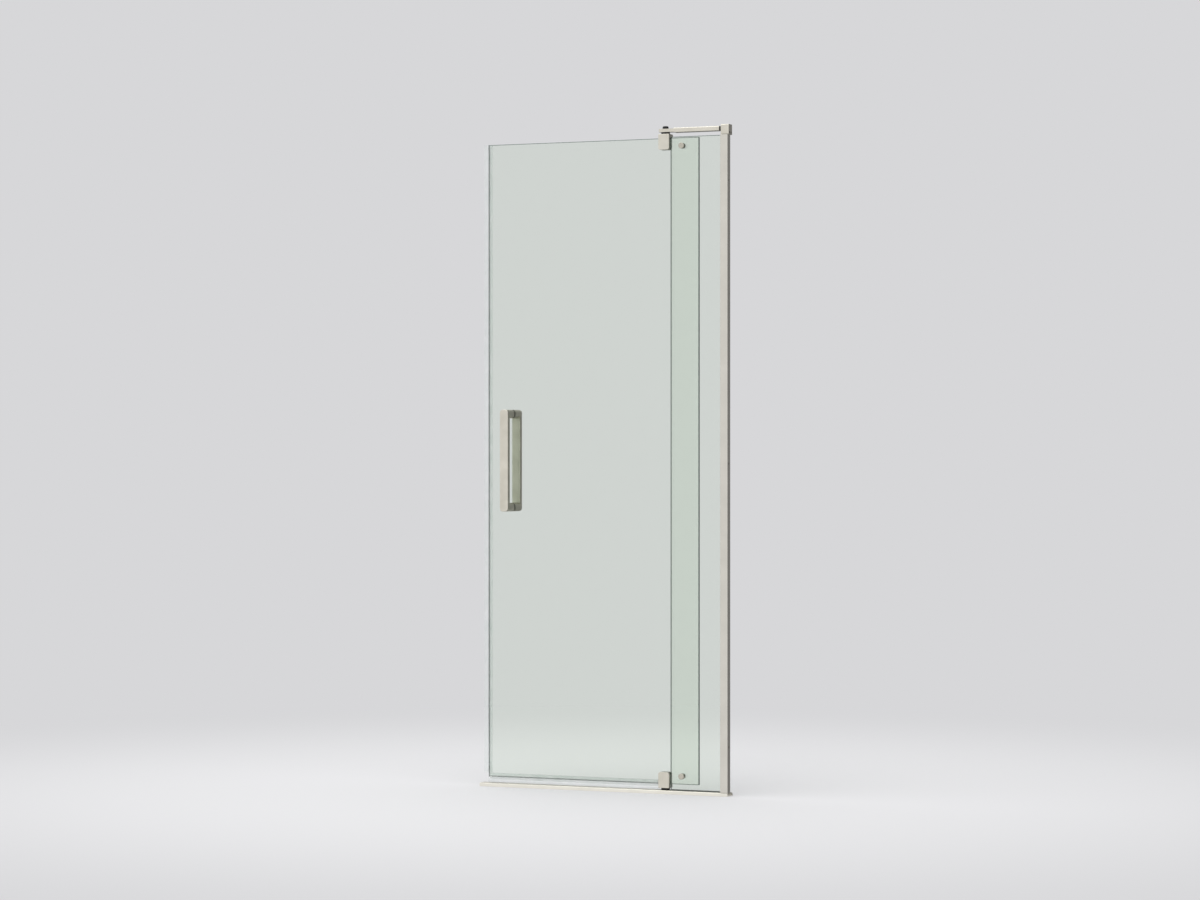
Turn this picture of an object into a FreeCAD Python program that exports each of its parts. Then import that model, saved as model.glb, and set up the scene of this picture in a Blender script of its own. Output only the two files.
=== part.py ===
import FreeCAD, Part
import os
import re
import Sketcher
from FreeCAD import Rotation, Vector

# Inline pivot shower door for an alcove, seen from outside the shower.
#
# One sheet of tempered glass turns on a pin near its right edge. The short tail
# behind the pin laps a fixed glass panel, which stands in a jamb on the right wall.
# The leaf swings out towards the user while the tail swings in, and two buttons
# through the fixed panel stop the tail when the door is shut.
#
# Frame: X runs along the threshold towards the hinge wall, Y runs into the shower
# and Z is up. The origin is on the floor, half way between the threshold's strike
# end and the hinge wall, in the middle plane of the door glass.

SIZES = {
    # Opening
    "opening_width": 726.0,          # wall to wall
    "threshold_end_gap": 2.5,        # sealant joint at the strike wall
    "pivot_to_wall": 185.0,          # pivot axis to the hinge wall
    # Threshold extrusion
    "threshold_front": 21.0,         # nose, ahead of the door glass
    "threshold_tread": 9.0,          # flat top behind the door glass
    "threshold_back": 17.0,          # inner edge
    "threshold_height": 9.5,
    "threshold_back_height": 4.5,    # what is left of the slope at the inner edge
    "threshold_wall": 2.0,
    "threshold_nose_radius": 2.5,
    "track_width": 12.0,             # channel under the top that holds the slide nut
    # Door glass
    "door_glass_height": 1720.0,
    "door_glass_thickness": 8.0,
    "leaf_reach": 519.0,             # pivot axis to the strike edge
    "tail_reach": 98.0,              # pivot axis to the free edge of the tail
    "glass_corner_radius": 1.5,
    "glass_arris": 1.2,
    # Fixed panel, in front of the tail
    "panel_thickness": 8.0,
    "panel_offset": 11.0,            # between the middle planes of the two sheets
    "panel_to_pivot": 20.0,          # pivot axis to the free edge of the panel
    "panel_top_drop": 1.0,           # below the top of the jamb
    # Vinyl shoe under the fixed panel
    "shoe_base": 1.6,
    "shoe_wall": 1.0,
    "shoe_lip": 1.6,                 # up each face of the glass
    # Jamb on the hinge wall, and its glazing gasket
    "jamb_width": 21.0,              # out from the wall
    "jamb_depth": 20.0,              # front to back
    "jamb_wall": 1.8,
    "jamb_lip": 1.2,                 # return at each mouth edge
    "jamb_lip_thickness": 2.0,
    "glass_bite": 15.0,              # panel edge inside the jamb
    "gasket_web": 2.0,               # behind the edge of the panel
    "jamb_screw_hole": 4.8,
    "jamb_screw_inset": 120.0,       # from each end of the jamb
    # Hinge blocks, clamped on the glass at the top and the bottom
    "block_width": 31.0,
    "block_height": 42.0,
    "block_depth": 29.0,
    "block_overhang": 10.8,          # past the edge of the glass
    "block_corner_radius": 5.0,      # corners on the glass
    "block_end_radius": 2.0,         # corners past the glass
    "block_edge_radius": 1.0,
    "hinge_pad": 1.0,                # gasket between block and glass
    "pad_inset": 0.6,
    "glass_edge_gap": 0.5,           # edge of the glass to the roof of the clamp
    "notch_width": 14.0,             # notch in the glass for the clamp screws
    "notch_depth": 27.0,
    "key_gap": 0.4,                  # around the metal key in the notch
    "clamp_screw": 5.0,
    "clamp_head": 9.0,
    "clamp_screw_inset": 5.0,        # edge of the glass to the first screw
    "clamp_screw_pitch": 11.0,
    "clamp_thread": 4.5,             # thread depth beyond the key
    # Pivots
    "pin_diameter": 8.0,
    "pin_reach": 9.0,                # into the block
    "pin_chamfer": 0.8,
    "bush_diameter": 12.0,
    "bush_length": 9.6,
    "running_clearance": 0.05,       # radial, pin in bush
    "running_gap": 0.2,              # between a turning face and a washer
    "washer_diameter": 23.0,
    "washer_play": 0.2,              # radial, washer on pin
    "top_washer": 5.0,               # space between block and bar
    "bottom_washer": 5.6,            # space between block and threshold
    "pin_flange": 14.0,
    "pin_flange_thickness": 1.6,
    "pin_spigot": 6.0,
    "nut_length": 24.0,
    "nut_thickness": 4.5,
    "fit_gap": 0.1,                  # radial, for parts that are fixed together
    # Support bar
    "bar_height": 12.4,
    "bar_depth": 24.0,
    "bar_end_radius": 2.5,           # plan corners of the free end
    "bar_edge_radius": 2.0,
    "tongue_thickness": 8.7,         # flat end that takes the pivot
    "tongue_end": 28.0,              # pivot axis to the shoulder
    "bar_bore": 10.0,                # seat of the top pin
    "cap_diameter": 16.2,
    "cap_height": 7.6,
    "cap_radius": 3.4,
    # Wall bracket of the bar
    "bracket_length": 23.0,
    "bracket_depth": 25.0,
    "bracket_above": 10.35,          # bar axis to the top
    "bracket_below": 17.05,          # bar axis to the jamb
    "bracket_radius": 2.0,
    "bracket_screw_hole": 4.5,
    "bracket_screw_head": 7.6,
    "bracket_screw_pitch": 13.0,
    "bracket_screw_drop": 11.0,      # below the bar axis
    "bracket_floor": 6.0,            # left under the heads of the wall screws
    "spacer_length": 4.5,
    "spacer_height": 10.6,
    "spacer_depth": 20.0,
    "stud_diameter": 6.0,
    "stud_in_bar": 20.0,
    "stud_in_bracket": 14.0,
    "bracket_set_screw": 5.0,
    # Stop buttons through the fixed panel
    "stop_offset": 53.0,             # pivot axis to the buttons
    "stop_inset": 22.5,              # from each end of the door glass
    "stop_diameter": 16.0,
    "stop_thickness": 7.0,
    "stop_edge_radius": 1.0,
    "stop_hole": 13.0,
    "stop_screw": 4.0,
    "stop_screw_head": 7.0,
    "stop_head_thickness": 1.2,
    "stop_head_recess": 1.5,
    "stop_thread": 4.8,
    "bumper_diameter": 14.0,
    "bumper_gap": 0.3,               # bumper to tail when the door is shut
    # Pull handle on both faces of the door
    "handle_inset": 65.5,            # strike edge to the middle of the handle
    "handle_centre": 860.5,          # above the bottom edge of the glass
    "handle_length": 276.0,
    "handle_width": 24.0,
    "handle_bar": 13.0,              # front to back
    "handle_leg": 23.0,
    "handle_reach": 48.0,            # middle of the glass to the outer face
    "handle_corner_radius": 8.5,
    "handle_edge_radius": 1.5,
    "handle_washer": 1.0,
    "handle_washer_inset": 0.5,
    "handle_stud": 8.0,
    "handle_stud_reach": 14.0,       # into each leg
    "handle_glass_hole": 12.0,
    "handle_set_screw": 5.0,
    # Clear vinyl seals
    "seal_wall": 1.0,
    "seal_leg": 9.0,                 # edge seal, over each face of the glass
    "seal_reach": 15.5,              # fin, past the edge of the glass
    "seal_tip": 0.8,
    "sweep_leg": 9.5,                # sweep, up each face of the glass
    "sweep_clearance": 1.5,          # above the threshold
    "sweep_end_gap": 0.5,            # to the hinge block
    "seal_joint": 0.5,               # between the two seals
    "rail_reach": 5.0,               # drip rail, inwards
    "rail_drop": 7.0,
}

doc = FreeCAD.newDocument("PivotShowerDoor")
sheet = doc.addObject("Spreadsheet::Sheet", "Sizes")
for row, (alias, value) in enumerate(SIZES.items(), start=1):
    sheet.set(f"A{row}", alias.replace("_", " "))
    sheet.set(f"B{row}", str(value))
    sheet.setAlias(f"B{row}", alias)
doc.recompute()

# Places that several pieces share, as formulas over the sheet.
WALL_X = "(opening_width - threshold_end_gap) / 2"
PIVOT_X = f"({WALL_X} - pivot_to_wall)"
STRIKE_X = f"({PIVOT_X} - leaf_reach)"
STOP_X = f"({PIVOT_X} + stop_offset)"
HANDLE_X = f"({STRIKE_X} + handle_inset)"
PANEL_Y = "-panel_offset"
GLASS_Z = "(threshold_height + bottom_washer + block_overhang)"
DOOR_TOP_Z = f"({GLASS_Z} + door_glass_height)"
TONGUE_Z = f"({DOOR_TOP_Z} + block_overhang + top_washer)"
BAR_Z = f"({TONGUE_Z} + tongue_thickness / 2)"
JAMB_TOP_Z = f"({BAR_Z} - bracket_below)"
HANDLE_Z = f"({GLASS_Z} + handle_centre)"

JAMB_HEIGHT = f"({JAMB_TOP_Z} - threshold_height)"
BAR_LENGTH = "(pivot_to_wall - bracket_length - spacer_length)"
HALF_GLASS = "door_glass_thickness / 2"
HALF_PANEL = "panel_thickness / 2"
CLAMP_FACE = f"({HALF_GLASS} + hinge_pad)"
LEG_FACE = f"({HALF_GLASS} + handle_washer)"
KEY_END = "(notch_depth - notch_width / 2)"
STUD_PITCH = "(handle_length - handle_leg)"
BUMPER = f"(panel_offset - {HALF_PANEL} - {HALF_GLASS} - bumper_gap)"
SEAL_FACE = f"({HALF_GLASS} + seal_wall)"
SWEEP_DROP = "(bottom_washer + block_overhang - sweep_clearance)"


def bound(formula):
    """The formula with each size's name turned into its cell of the sheet."""
    return re.sub(r"[a-z][a-z_]+", lambda word: f"Sizes.{word.group()}", formula)


def number(formula):
    """The present value of a formula over the sheet."""
    return float(sheet.evalExpression(bound(formula)))


def new_body(name, x="0", y="0", z="0", turn=None):
    """An empty body, labelled and placed by formulas."""
    body = doc.addObject("PartDesign::Body", name)
    body.AllowCompound = True
    body.Label = name
    if turn is not None:
        body.Placement.Rotation = turn
    for axis, formula in (("x", x), ("y", y), ("z", z)):
        body.setExpression(f"Placement.Base.{axis}", bound(formula))
    return body


def origin_feature(body, role):
    """The origin plane or axis of a body that has the given role."""
    return next(item for item in body.Origin.OriginFeatures if item.Role == role)


def new_sketch(body, name, plane, offset="0"):
    """A sketch on an origin plane, moved along its normal by a formula."""
    sketch = body.newObject("Sketcher::SketchObject", f"{body.Name}_{name}")
    sketch.AttachmentSupport = [(origin_feature(body, plane), "")]
    sketch.MapMode = "FlatFace"
    sketch.setExpression("AttachmentOffset.Base.z", bound(offset))
    return sketch


def pin_point(sketch, geometry, position, across, up):
    """Dimension one point of a sketch from the sketch's origin."""
    for kind, axis, formula in (("DistanceX", -2, across), ("DistanceY", -1, up)):
        value = number(formula)
        if abs(value) < 1e-9:
            sketch.addConstraint(Sketcher.Constraint("PointOnObject", geometry, position, axis))
            continue
        ends = (-1, 1, geometry, position) if value > 0 else (geometry, position, -1, 1)
        index = sketch.addConstraint(Sketcher.Constraint(kind, *ends, abs(value)))
        signed = formula if value > 0 else f"-({formula})"
        sketch.setExpression(f"Constraints[{index}]", bound(signed))


def outline(sketch, corners):
    """A closed outline of straight lines through corners given as formulas."""
    points = [Vector(number(across), number(up), 0) for across, up in corners]
    first = sketch.GeometryCount
    for start, end in zip(points, points[1:] + points[:1]):
        sketch.addGeometry(Part.LineSegment(start, end), False)
    for index in range(len(points)):
        following = first + (index + 1) % len(points)
        sketch.addConstraint(Sketcher.Constraint("Coincident", first + index, 2, following, 1))
    for index, (across, up) in enumerate(corners):
        pin_point(sketch, first + index, 1, across, up)


def rectangle(sketch, left, right, bottom, top):
    """A rectangle between four formulas."""
    outline(sketch, [(left, bottom), (right, bottom), (right, top), (left, top)])


def circle(sketch, diameter, across="0", up="0"):
    """A circle with its diameter and centre as formulas."""
    centre = Vector(number(across), number(up), 0)
    shape = Part.Circle(centre, Vector(0, 0, 1), number(diameter) / 2)
    index = sketch.addGeometry(shape, False)
    pin_point(sketch, index, 3, across, up)
    size = sketch.addConstraint(Sketcher.Constraint("Diameter", index, number(diameter)))
    sketch.setExpression(f"Constraints[{size}]", bound(diameter))


def pad(body, sketch, length, side="One side", reverse=False, second=None):
    """Add a sketch's material over a length."""
    feature = body.newObject("PartDesign::Pad", f"{sketch.Name}_pad")
    feature.Profile = sketch
    feature.SideType = side
    feature.Reversed = reverse
    feature.setExpression("Length", bound(length))
    if second is not None:
        feature.setExpression("Length2", bound(second))
    doc.recompute()
    return feature


def pocket(body, sketch, length=None, reverse=False):
    """Cut a sketch out, right through both ways where no length is given."""
    before = body.Shape.Volume
    feature = body.newObject("PartDesign::Pocket", f"{sketch.Name}_pocket")
    feature.Profile = sketch
    feature.Reversed = reverse
    if length is None:
        feature.Type = "ThroughAll"
        feature.SideType = "Symmetric"
    else:
        feature.setExpression("Length", bound(length))
    doc.recompute()
    if body.Shape.Volume > before - 1e-6:
        raise ValueError(f"{feature.Name} cuts nothing")
    return feature


def revolve(body, sketch, axis):
    """Turn a sketch once round one of its own axes."""
    feature = body.newObject("PartDesign::Revolution", f"{sketch.Name}_turned")
    feature.Profile = sketch
    feature.ReferenceAxis = (sketch, [axis])
    feature.Angle = 360
    doc.recompute()
    return feature


def dress(body, kind, edges, radius):
    """Fillet or chamfer the chosen edges of a body's latest feature."""
    base = body.Tip
    feature = body.newObject(f"PartDesign::{kind}", f"{base.Name}_{kind.lower()}")
    feature.Base = (base, edges)
    feature.setExpression("Radius" if kind == "Fillet" else "Size", bound(radius))
    doc.recompute()
    return feature


def repeat(body, axis, distance, count=2, features=None):
    """Copy the whole body, or some of its features, in a row along an axis."""
    feature = body.newObject("PartDesign::LinearPattern", f"{body.Tip.Name}_row")
    if features is None:
        feature.TransformMode = "Whole shape"
    else:
        feature.Originals = features
    feature.Direction = (origin_feature(body, axis), [""])
    feature.Occurrences = count
    feature.setExpression("Length", bound(distance))
    body.Tip = feature
    doc.recompute()
    return feature


def mirror(body, plane):
    """Mirror the whole body in one of its origin planes."""
    feature = body.newObject("PartDesign::Mirrored", f"{body.Tip.Name}_mirror")
    feature.TransformMode = "Whole shape"
    feature.MirrorPlane = (origin_feature(body, plane), [""])
    body.Tip = feature
    doc.recompute()
    return feature


def straight_along(edge, axis):
    """Whether an edge is straight and runs along a unit vector."""
    if not isinstance(edge.Curve, (Part.Line, Part.LineSegment)):
        return False
    return edge.tangentAt(edge.FirstParameter).cross(axis).Length < 1e-6


def pick_edges(body, chosen):
    """Names of the edges of a body's latest feature that a test accepts."""
    edges = body.Tip.Shape.Edges
    names = [f"Edge{index}" for index, edge in enumerate(edges, start=1) if chosen(edge)]
    if not names:
        raise ValueError(f"no edge found on {body.Name}")
    return names


def edges_along(body, axis, spots):
    """Straight edges along an axis whose middles lie on given spots.

    Each spot gives a formula or None for X, Y and Z; None leaves that one free.
    """
    wanted = [[None if part is None else number(part) for part in spot] for spot in spots]

    def matches(edge):
        if not straight_along(edge, axis):
            return False
        middle = edge.CenterOfMass
        return any(
            all(goal is None or abs(goal - place) < 1e-3 for goal, place in zip(spot, middle))
            for spot in wanted
        )

    return pick_edges(body, matches)


def edges_on(body, axis, places):
    """Edges that lie wholly in the planes that cross an axis at given places."""
    levels = [number(place) for place in places]

    def matches(edge):
        box = edge.BoundBox
        low = Vector(box.XMin, box.YMin, box.ZMin).dot(axis)
        high = Vector(box.XMax, box.YMax, box.ZMax).dot(axis)
        return any(abs(low - level) < 1e-3 and abs(high - level) < 1e-3 for level in levels)

    return pick_edges(body, matches)


X_AXIS = Vector(1, 0, 0)
Y_AXIS = Vector(0, 1, 0)
Z_AXIS = Vector(0, 0, 1)


def turned_piece(name, places, axis, profile):
    """A body turned from a profile of (along, radius) pairs about Y or Z."""
    body = new_body(name, *places)
    if axis == "Z":
        sketch = new_sketch(body, "profile", "XZ_Plane")
        outline(sketch, [(radius, along) for along, radius in profile])
        revolve(body, sketch, "V_Axis")
    else:
        sketch = new_sketch(body, "profile", "YZ_Plane")
        outline(sketch, profile)
        revolve(body, sketch, "H_Axis")
    return body


# ---------------------------------------------------------------- threshold

def make_threshold():
    """Low sill extrusion: nose, tread, slope to the shower and a nut track below."""
    body = new_body("threshold")
    profile = new_sketch(body, "profile", "YZ_Plane")
    roof = "threshold_height - threshold_wall"
    rib = "track_width / 2 + threshold_wall"
    outline(profile, [
        ("-threshold_front", "0"),
        ("-threshold_front", "threshold_height"),
        ("threshold_tread", "threshold_height"),
        ("threshold_back", "threshold_back_height"),
        ("threshold_back", "0"),
        ("threshold_back - threshold_wall", "0"),
        ("threshold_back - threshold_wall", "threshold_back_height - threshold_wall"),
        (rib, roof),
        (rib, "0"),
        ("track_width / 2", "0"),
        ("track_width / 2", roof),
        ("-track_width / 2", roof),
        ("-track_width / 2", "0"),
        (f"-({rib})", "0"),
        (f"-({rib})", roof),
        ("threshold_wall - threshold_front", roof),
        ("threshold_wall - threshold_front", "0"),
    ])
    pad(body, profile, f"2 * {WALL_X}", side="Symmetric")
    nose = edges_along(body, X_AXIS, [(None, "-threshold_front", "threshold_height")])
    dress(body, "Fillet", nose, "threshold_nose_radius")
    slope = edges_along(body, X_AXIS, [
        (None, "threshold_tread", "threshold_height"),
        (None, "threshold_back", "threshold_back_height"),
    ])
    dress(body, "Fillet", slope, "threshold_wall / 2")
    hole = new_sketch(body, "pin_hole", "XY_Plane")
    circle(hole, "pin_spigot + 2 * fit_gap", across=PIVOT_X)
    pocket(body, hole)


def make_threshold_nut():
    """Steel nut that slides in the track and holds the bottom pin."""
    body = new_body("threshold_nut", PIVOT_X, "0", "threshold_height - threshold_wall")
    plan = new_sketch(body, "plan", "XY_Plane")
    side = "track_width / 2 - fit_gap"
    rectangle(plan, "-nut_length / 2", "nut_length / 2", f"-({side})", side)
    circle(plan, "pin_spigot + 2 * fit_gap")
    pad(body, plan, "nut_thickness", reverse=True)


# ------------------------------------------------------- jamb and fixed panel

def make_wall_jamb():
    """U channel on the hinge wall, open towards the panel, with lipped mouth edges."""
    body = new_body("wall_jamb", WALL_X, PANEL_Y, "threshold_height")
    plan = new_sketch(body, "plan", "XY_Plane")
    half = "jamb_depth / 2"
    inner = f"({half} - jamb_wall)"
    mouth = f"({inner} - jamb_lip)"
    outline(plan, [
        ("0", f"-{half}"),
        ("0", half),
        ("-jamb_width", half),
        ("-jamb_width", mouth),
        ("jamb_lip_thickness - jamb_width", mouth),
        ("jamb_lip_thickness - jamb_width", inner),
        ("-jamb_wall", inner),
        ("-jamb_wall", f"-{inner}"),
        ("jamb_lip_thickness - jamb_width", f"-{inner}"),
        ("jamb_lip_thickness - jamb_width", f"-{mouth}"),
        ("-jamb_width", f"-{mouth}"),
        ("-jamb_width", f"-{half}"),
    ])
    pad(body, plan, JAMB_HEIGHT)
    corners = edges_along(body, Z_AXIS, [
        ("-jamb_width", half, None),
        ("-jamb_width", f"-{half}", None),
    ])
    dress(body, "Fillet", corners, "jamb_wall / 2")
    # Three holes for the wall screws, in a row up the web.
    first = new_sketch(body, "screw_hole", "YZ_Plane")
    circle(first, "jamb_screw_hole", up="jamb_screw_inset")
    hole = pocket(body, first)
    repeat(body, "Z_Axis", f"{JAMB_HEIGHT} - 2 * jamb_screw_inset", count=3, features=[hole])


def make_jamb_gasket():
    """Soft U that wraps the edge of the panel and fills the jamb behind its lips."""
    body = new_body("jamb_gasket", WALL_X, PANEL_Y, "threshold_height")
    plan = new_sketch(body, "plan", "XY_Plane")
    inner = "(jamb_depth / 2 - jamb_wall)"
    mouth = f"({inner} - jamb_lip)"
    outline(plan, [
        ("-jamb_width", f"-{mouth}"),
        ("jamb_lip_thickness - jamb_width", f"-{mouth}"),
        ("jamb_lip_thickness - jamb_width", f"-{inner}"),
        ("glass_bite + gasket_web - jamb_width", f"-{inner}"),
        ("glass_bite + gasket_web - jamb_width", inner),
        ("jamb_lip_thickness - jamb_width", inner),
        ("jamb_lip_thickness - jamb_width", mouth),
        ("-jamb_width", mouth),
        ("-jamb_width", HALF_PANEL),
        ("glass_bite - jamb_width", HALF_PANEL),
        ("glass_bite - jamb_width", f"-{HALF_PANEL}"),
        ("-jamb_width", f"-{HALF_PANEL}"),
    ])
    pad(body, plan, f"{JAMB_HEIGHT} - panel_top_drop")


def finish_sheet(body, thickness, corners):
    """Round the corners of a glass sheet and grind an arris on all its edges."""
    dress(body, "Fillet", edges_along(body, Y_AXIS, corners), "glass_corner_radius")
    faces = edges_on(body, Y_AXIS, [f"{thickness} / 2", f"-{thickness} / 2"])
    dress(body, "Chamfer", faces, "glass_arris")


def make_fixed_panel():
    """Fixed glass panel, drilled for the two stop buttons."""
    base = "(threshold_height + shoe_base)"
    body = new_body("fixed_panel", PIVOT_X, PANEL_Y, base)
    right = "(pivot_to_wall - jamb_width + glass_bite)"
    top = f"({JAMB_TOP_Z} - panel_top_drop - {base})"
    face = new_sketch(body, "face", "XZ_Plane")
    rectangle(face, "panel_to_pivot", right, "0", top)
    pad(body, face, "panel_thickness", side="Symmetric")
    finish_sheet(body, "panel_thickness", [
        ("panel_to_pivot", None, "0"),
        ("panel_to_pivot", None, top),
        (right, None, "0"),
        (right, None, top),
    ])
    holes = new_sketch(body, "stop_holes", "XZ_Plane")
    low = f"({GLASS_Z} + stop_inset - {base})"
    circle(holes, "stop_hole", across="stop_offset", up=low)
    circle(holes, "stop_hole", across="stop_offset", up=f"{low} + door_glass_height - 2 * stop_inset")
    pocket(body, holes)


def make_panel_shoe():
    """Vinyl shoe that the fixed panel stands in, on the threshold."""
    body = new_body("panel_shoe", f"{PIVOT_X} + panel_to_pivot", PANEL_Y, "threshold_height")
    profile = new_sketch(body, "profile", "YZ_Plane")
    outer = f"({HALF_PANEL} + shoe_wall)"
    outline(profile, [
        (f"-{outer}", "0"),
        (outer, "0"),
        (outer, "shoe_base + shoe_lip"),
        (HALF_PANEL, "shoe_base + shoe_lip"),
        (HALF_PANEL, "shoe_base"),
        (f"-{HALF_PANEL}", "shoe_base"),
        (f"-{HALF_PANEL}", "shoe_base + shoe_lip"),
        (f"-{outer}", "shoe_base + shoe_lip"),
    ])
    pad(body, profile, "pivot_to_wall - panel_to_pivot - jamb_width")


# ----------------------------------------------------- support bar and bracket

def make_support_bar():
    """Flat bar from the wall to the pivot, milled to a tongue over the pivot."""
    body = new_body("support_bar", PIVOT_X, "0", BAR_Z)
    section = new_sketch(body, "section", "YZ_Plane")
    rectangle(section, "-bar_depth / 2", "bar_depth / 2", "-bar_height / 2", "bar_height / 2")
    pad(body, section, BAR_LENGTH, side="Two sides", second="block_width / 2")
    ends = edges_along(body, Z_AXIS, [("-block_width / 2", None, None)])
    dress(body, "Fillet", ends, "bar_end_radius")
    rims = edges_on(body, Z_AXIS, ["bar_height / 2", "-bar_height / 2"])
    wall_end = edges_on(body, X_AXIS, [BAR_LENGTH])
    dress(body, "Fillet", [name for name in rims if name not in wall_end], "bar_edge_radius")
    step = new_sketch(body, "tongue_step", "XZ_Plane")
    cheek = "tongue_thickness / 2"
    rectangle(step, "-block_width", "tongue_end", cheek, "bar_height")
    rectangle(step, "-block_width", "tongue_end", "-bar_height", f"-{cheek}")
    pocket(body, step)
    bore = new_sketch(body, "pin_bore", "XY_Plane")
    circle(bore, "bar_bore + 2 * fit_gap")
    pocket(body, bore)
    stud = new_sketch(body, "stud_bore", "YZ_Plane", offset=BAR_LENGTH)
    circle(stud, "stud_diameter + 2 * fit_gap")
    pocket(body, stud, "stud_in_bar + fit_gap")


def make_bar_spacer():
    """Black spacer between the end of the bar and the wall bracket."""
    body = new_body("bar_spacer", f"{PIVOT_X} + {BAR_LENGTH}", "0", BAR_Z)
    section = new_sketch(body, "section", "YZ_Plane")
    half_depth = "spacer_depth / 2"
    half_height = "spacer_height / 2"
    rectangle(section, f"-{half_depth}", half_depth, f"-{half_height}", half_height)
    circle(section, "stud_diameter + 2 * fit_gap")
    pad(body, section, "spacer_length")
    long_edges = edges_along(body, X_AXIS, [
        (None, f"{y} * {half_depth}", f"{z} * {half_height}") for y in (-1, 1) for z in (-1, 1)
    ])
    dress(body, "Fillet", long_edges, "bar_edge_radius / 2")


def make_bar_stud():
    """Threaded stud that joins the bar to its bracket through the spacer."""
    body = new_body("bar_stud", f"{PIVOT_X} + {BAR_LENGTH}", "0", BAR_Z)
    section = new_sketch(body, "section", "YZ_Plane")
    circle(section, "stud_diameter")
    reach = "spacer_length + stud_in_bracket"
    pad(body, section, reach, side="Two sides", second="stud_in_bar")


def make_wall_bracket():
    """Block on top of the jamb, screwed to the wall, that carries the bar."""
    body = new_body("wall_bracket", WALL_X, "0", BAR_Z)
    section = new_sketch(body, "section", "YZ_Plane")
    half = "bracket_depth / 2"
    rectangle(section, f"-{half}", half, "-bracket_below", "bracket_above")
    pad(body, section, "bracket_length", reverse=True)
    long_edges = edges_along(body, X_AXIS, [
        (None, f"{y} * {half}", z) for y in (-1, 1) for z in ("-bracket_below", "bracket_above")
    ])
    dress(body, "Fillet", long_edges, "bracket_radius")
    dress(body, "Fillet", edges_on(body, X_AXIS, ["-bracket_length"]), "bracket_radius / 2")
    bore = new_sketch(body, "stud_bore", "YZ_Plane", offset="-bracket_length")
    circle(bore, "stud_diameter + 2 * fit_gap")
    pocket(body, bore, "stud_in_bracket + fit_gap", reverse=True)
    heads = new_sketch(body, "screw_heads", "YZ_Plane", offset="-bracket_length")
    low = "-bracket_screw_drop"
    for side in (-1, 1):
        circle(heads, "bracket_screw_head", across=f"{side} * bracket_screw_pitch / 2", up=low)
    pocket(body, heads, "bracket_length - bracket_floor", reverse=True)
    holes = new_sketch(body, "screw_holes", "YZ_Plane")
    for side in (-1, 1):
        circle(holes, "bracket_screw_hole", across=f"{side} * bracket_screw_pitch / 2", up=low)
    pocket(body, holes)
    side_bore = new_sketch(body, "set_screw_hole", "XY_Plane", offset="bracket_above")
    circle(side_bore, "bracket_set_screw + 2 * fit_gap", across="stud_in_bracket / 2 - bracket_length")
    pocket(body, side_bore, "bracket_above")


def make_bracket_set_screw():
    """Set screw that locks the stud in the bracket, just below its top face."""
    where = f"{WALL_X} - bracket_length + stud_in_bracket / 2"
    body = new_body("bracket_set_screw", where, "0", f"{BAR_Z} + stud_diameter / 2")
    plan = new_sketch(body, "plan", "XY_Plane")
    circle(plan, "bracket_set_screw")
    pad(body, plan, "bracket_above - stud_diameter / 2 - running_gap")


# --------------------------------------------------------------------- pivots

def make_top_pivot():
    """Top pin, seated in the tongue, with its cap above and washer below."""
    pin_end = "-(top_washer + pin_reach)"
    pin = "pin_diameter / 2"
    seat = "bar_bore / 2"
    turned_piece("top_pivot_pin", (PIVOT_X, "0", TONGUE_Z), "Z", [
        (pin_end, "0"),
        (pin_end, f"{pin} - pin_chamfer"),
        (f"{pin_end} + pin_chamfer", pin),
        ("0", pin),
        ("0", seat),
        ("tongue_thickness", seat),
        ("tongue_thickness", "0"),
    ])
    cap = turned_piece("pivot_cap", (PIVOT_X, "0", f"{TONGUE_Z} + tongue_thickness"), "Z", [
        ("0", "0"),
        ("0", "cap_diameter / 2"),
        ("cap_height", "cap_diameter / 2"),
        ("cap_height", "0"),
    ])
    dress(cap, "Fillet", edges_on(cap, Z_AXIS, ["cap_height"]), "cap_radius")
    hole = f"{pin} + washer_play"
    washer = turned_piece("top_washer", (PIVOT_X, "0", TONGUE_Z), "Z", [
        ("0", hole),
        ("0", "washer_diameter / 2"),
        ("running_gap - top_washer", "washer_diameter / 2"),
        ("running_gap - top_washer", hole),
    ])
    rim = pick_edges(washer, lambda edge: edge.BoundBox.XLength > number("washer_diameter") - 0.1)
    dress(washer, "Fillet", rim, "running_gap")


def make_bottom_pivot():
    """Bottom pin, screwed through the threshold into the nut, and its washer."""
    pin = "pin_diameter / 2"
    spigot = "pin_spigot / 2"
    flange = "pin_flange / 2"
    foot = "-(threshold_wall + nut_thickness)"
    pin_end = "bottom_washer + pin_reach"
    turned_piece("bottom_pivot_pin", (PIVOT_X, "0", "threshold_height"), "Z", [
        (foot, "0"),
        (foot, spigot),
        ("0", spigot),
        ("0", flange),
        ("pin_flange_thickness", flange),
        ("pin_flange_thickness", pin),
        (f"{pin_end} - pin_chamfer", pin),
        (pin_end, f"{pin} - pin_chamfer"),
        (pin_end, "0"),
    ])
    hole = f"{pin} + washer_play"
    top = "bottom_washer - running_gap"
    turned_piece("bottom_washer", (PIVOT_X, "0", "threshold_height"), "Z", [
        ("0", f"{flange} + washer_play"),
        ("0", "washer_diameter / 2"),
        (top, "washer_diameter / 2"),
        (top, hole),
        ("pin_flange_thickness + washer_play", hole),
        ("pin_flange_thickness + washer_play", f"{flange} + washer_play"),
    ])


def make_pivot_bushes():
    """Nylon bushes, one in each hinge block."""
    body = turned_piece("pivot_bushes", (PIVOT_X, "0", f"{GLASS_Z} - block_overhang"), "Z", [
        ("0", "pin_diameter / 2 + running_clearance"),
        ("0", "bush_diameter / 2"),
        ("bush_length", "bush_diameter / 2"),
        ("bush_length", "pin_diameter / 2 + running_clearance"),
    ])
    repeat(body, "Z_Axis", "door_glass_height + 2 * block_overhang - bush_length")


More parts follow.
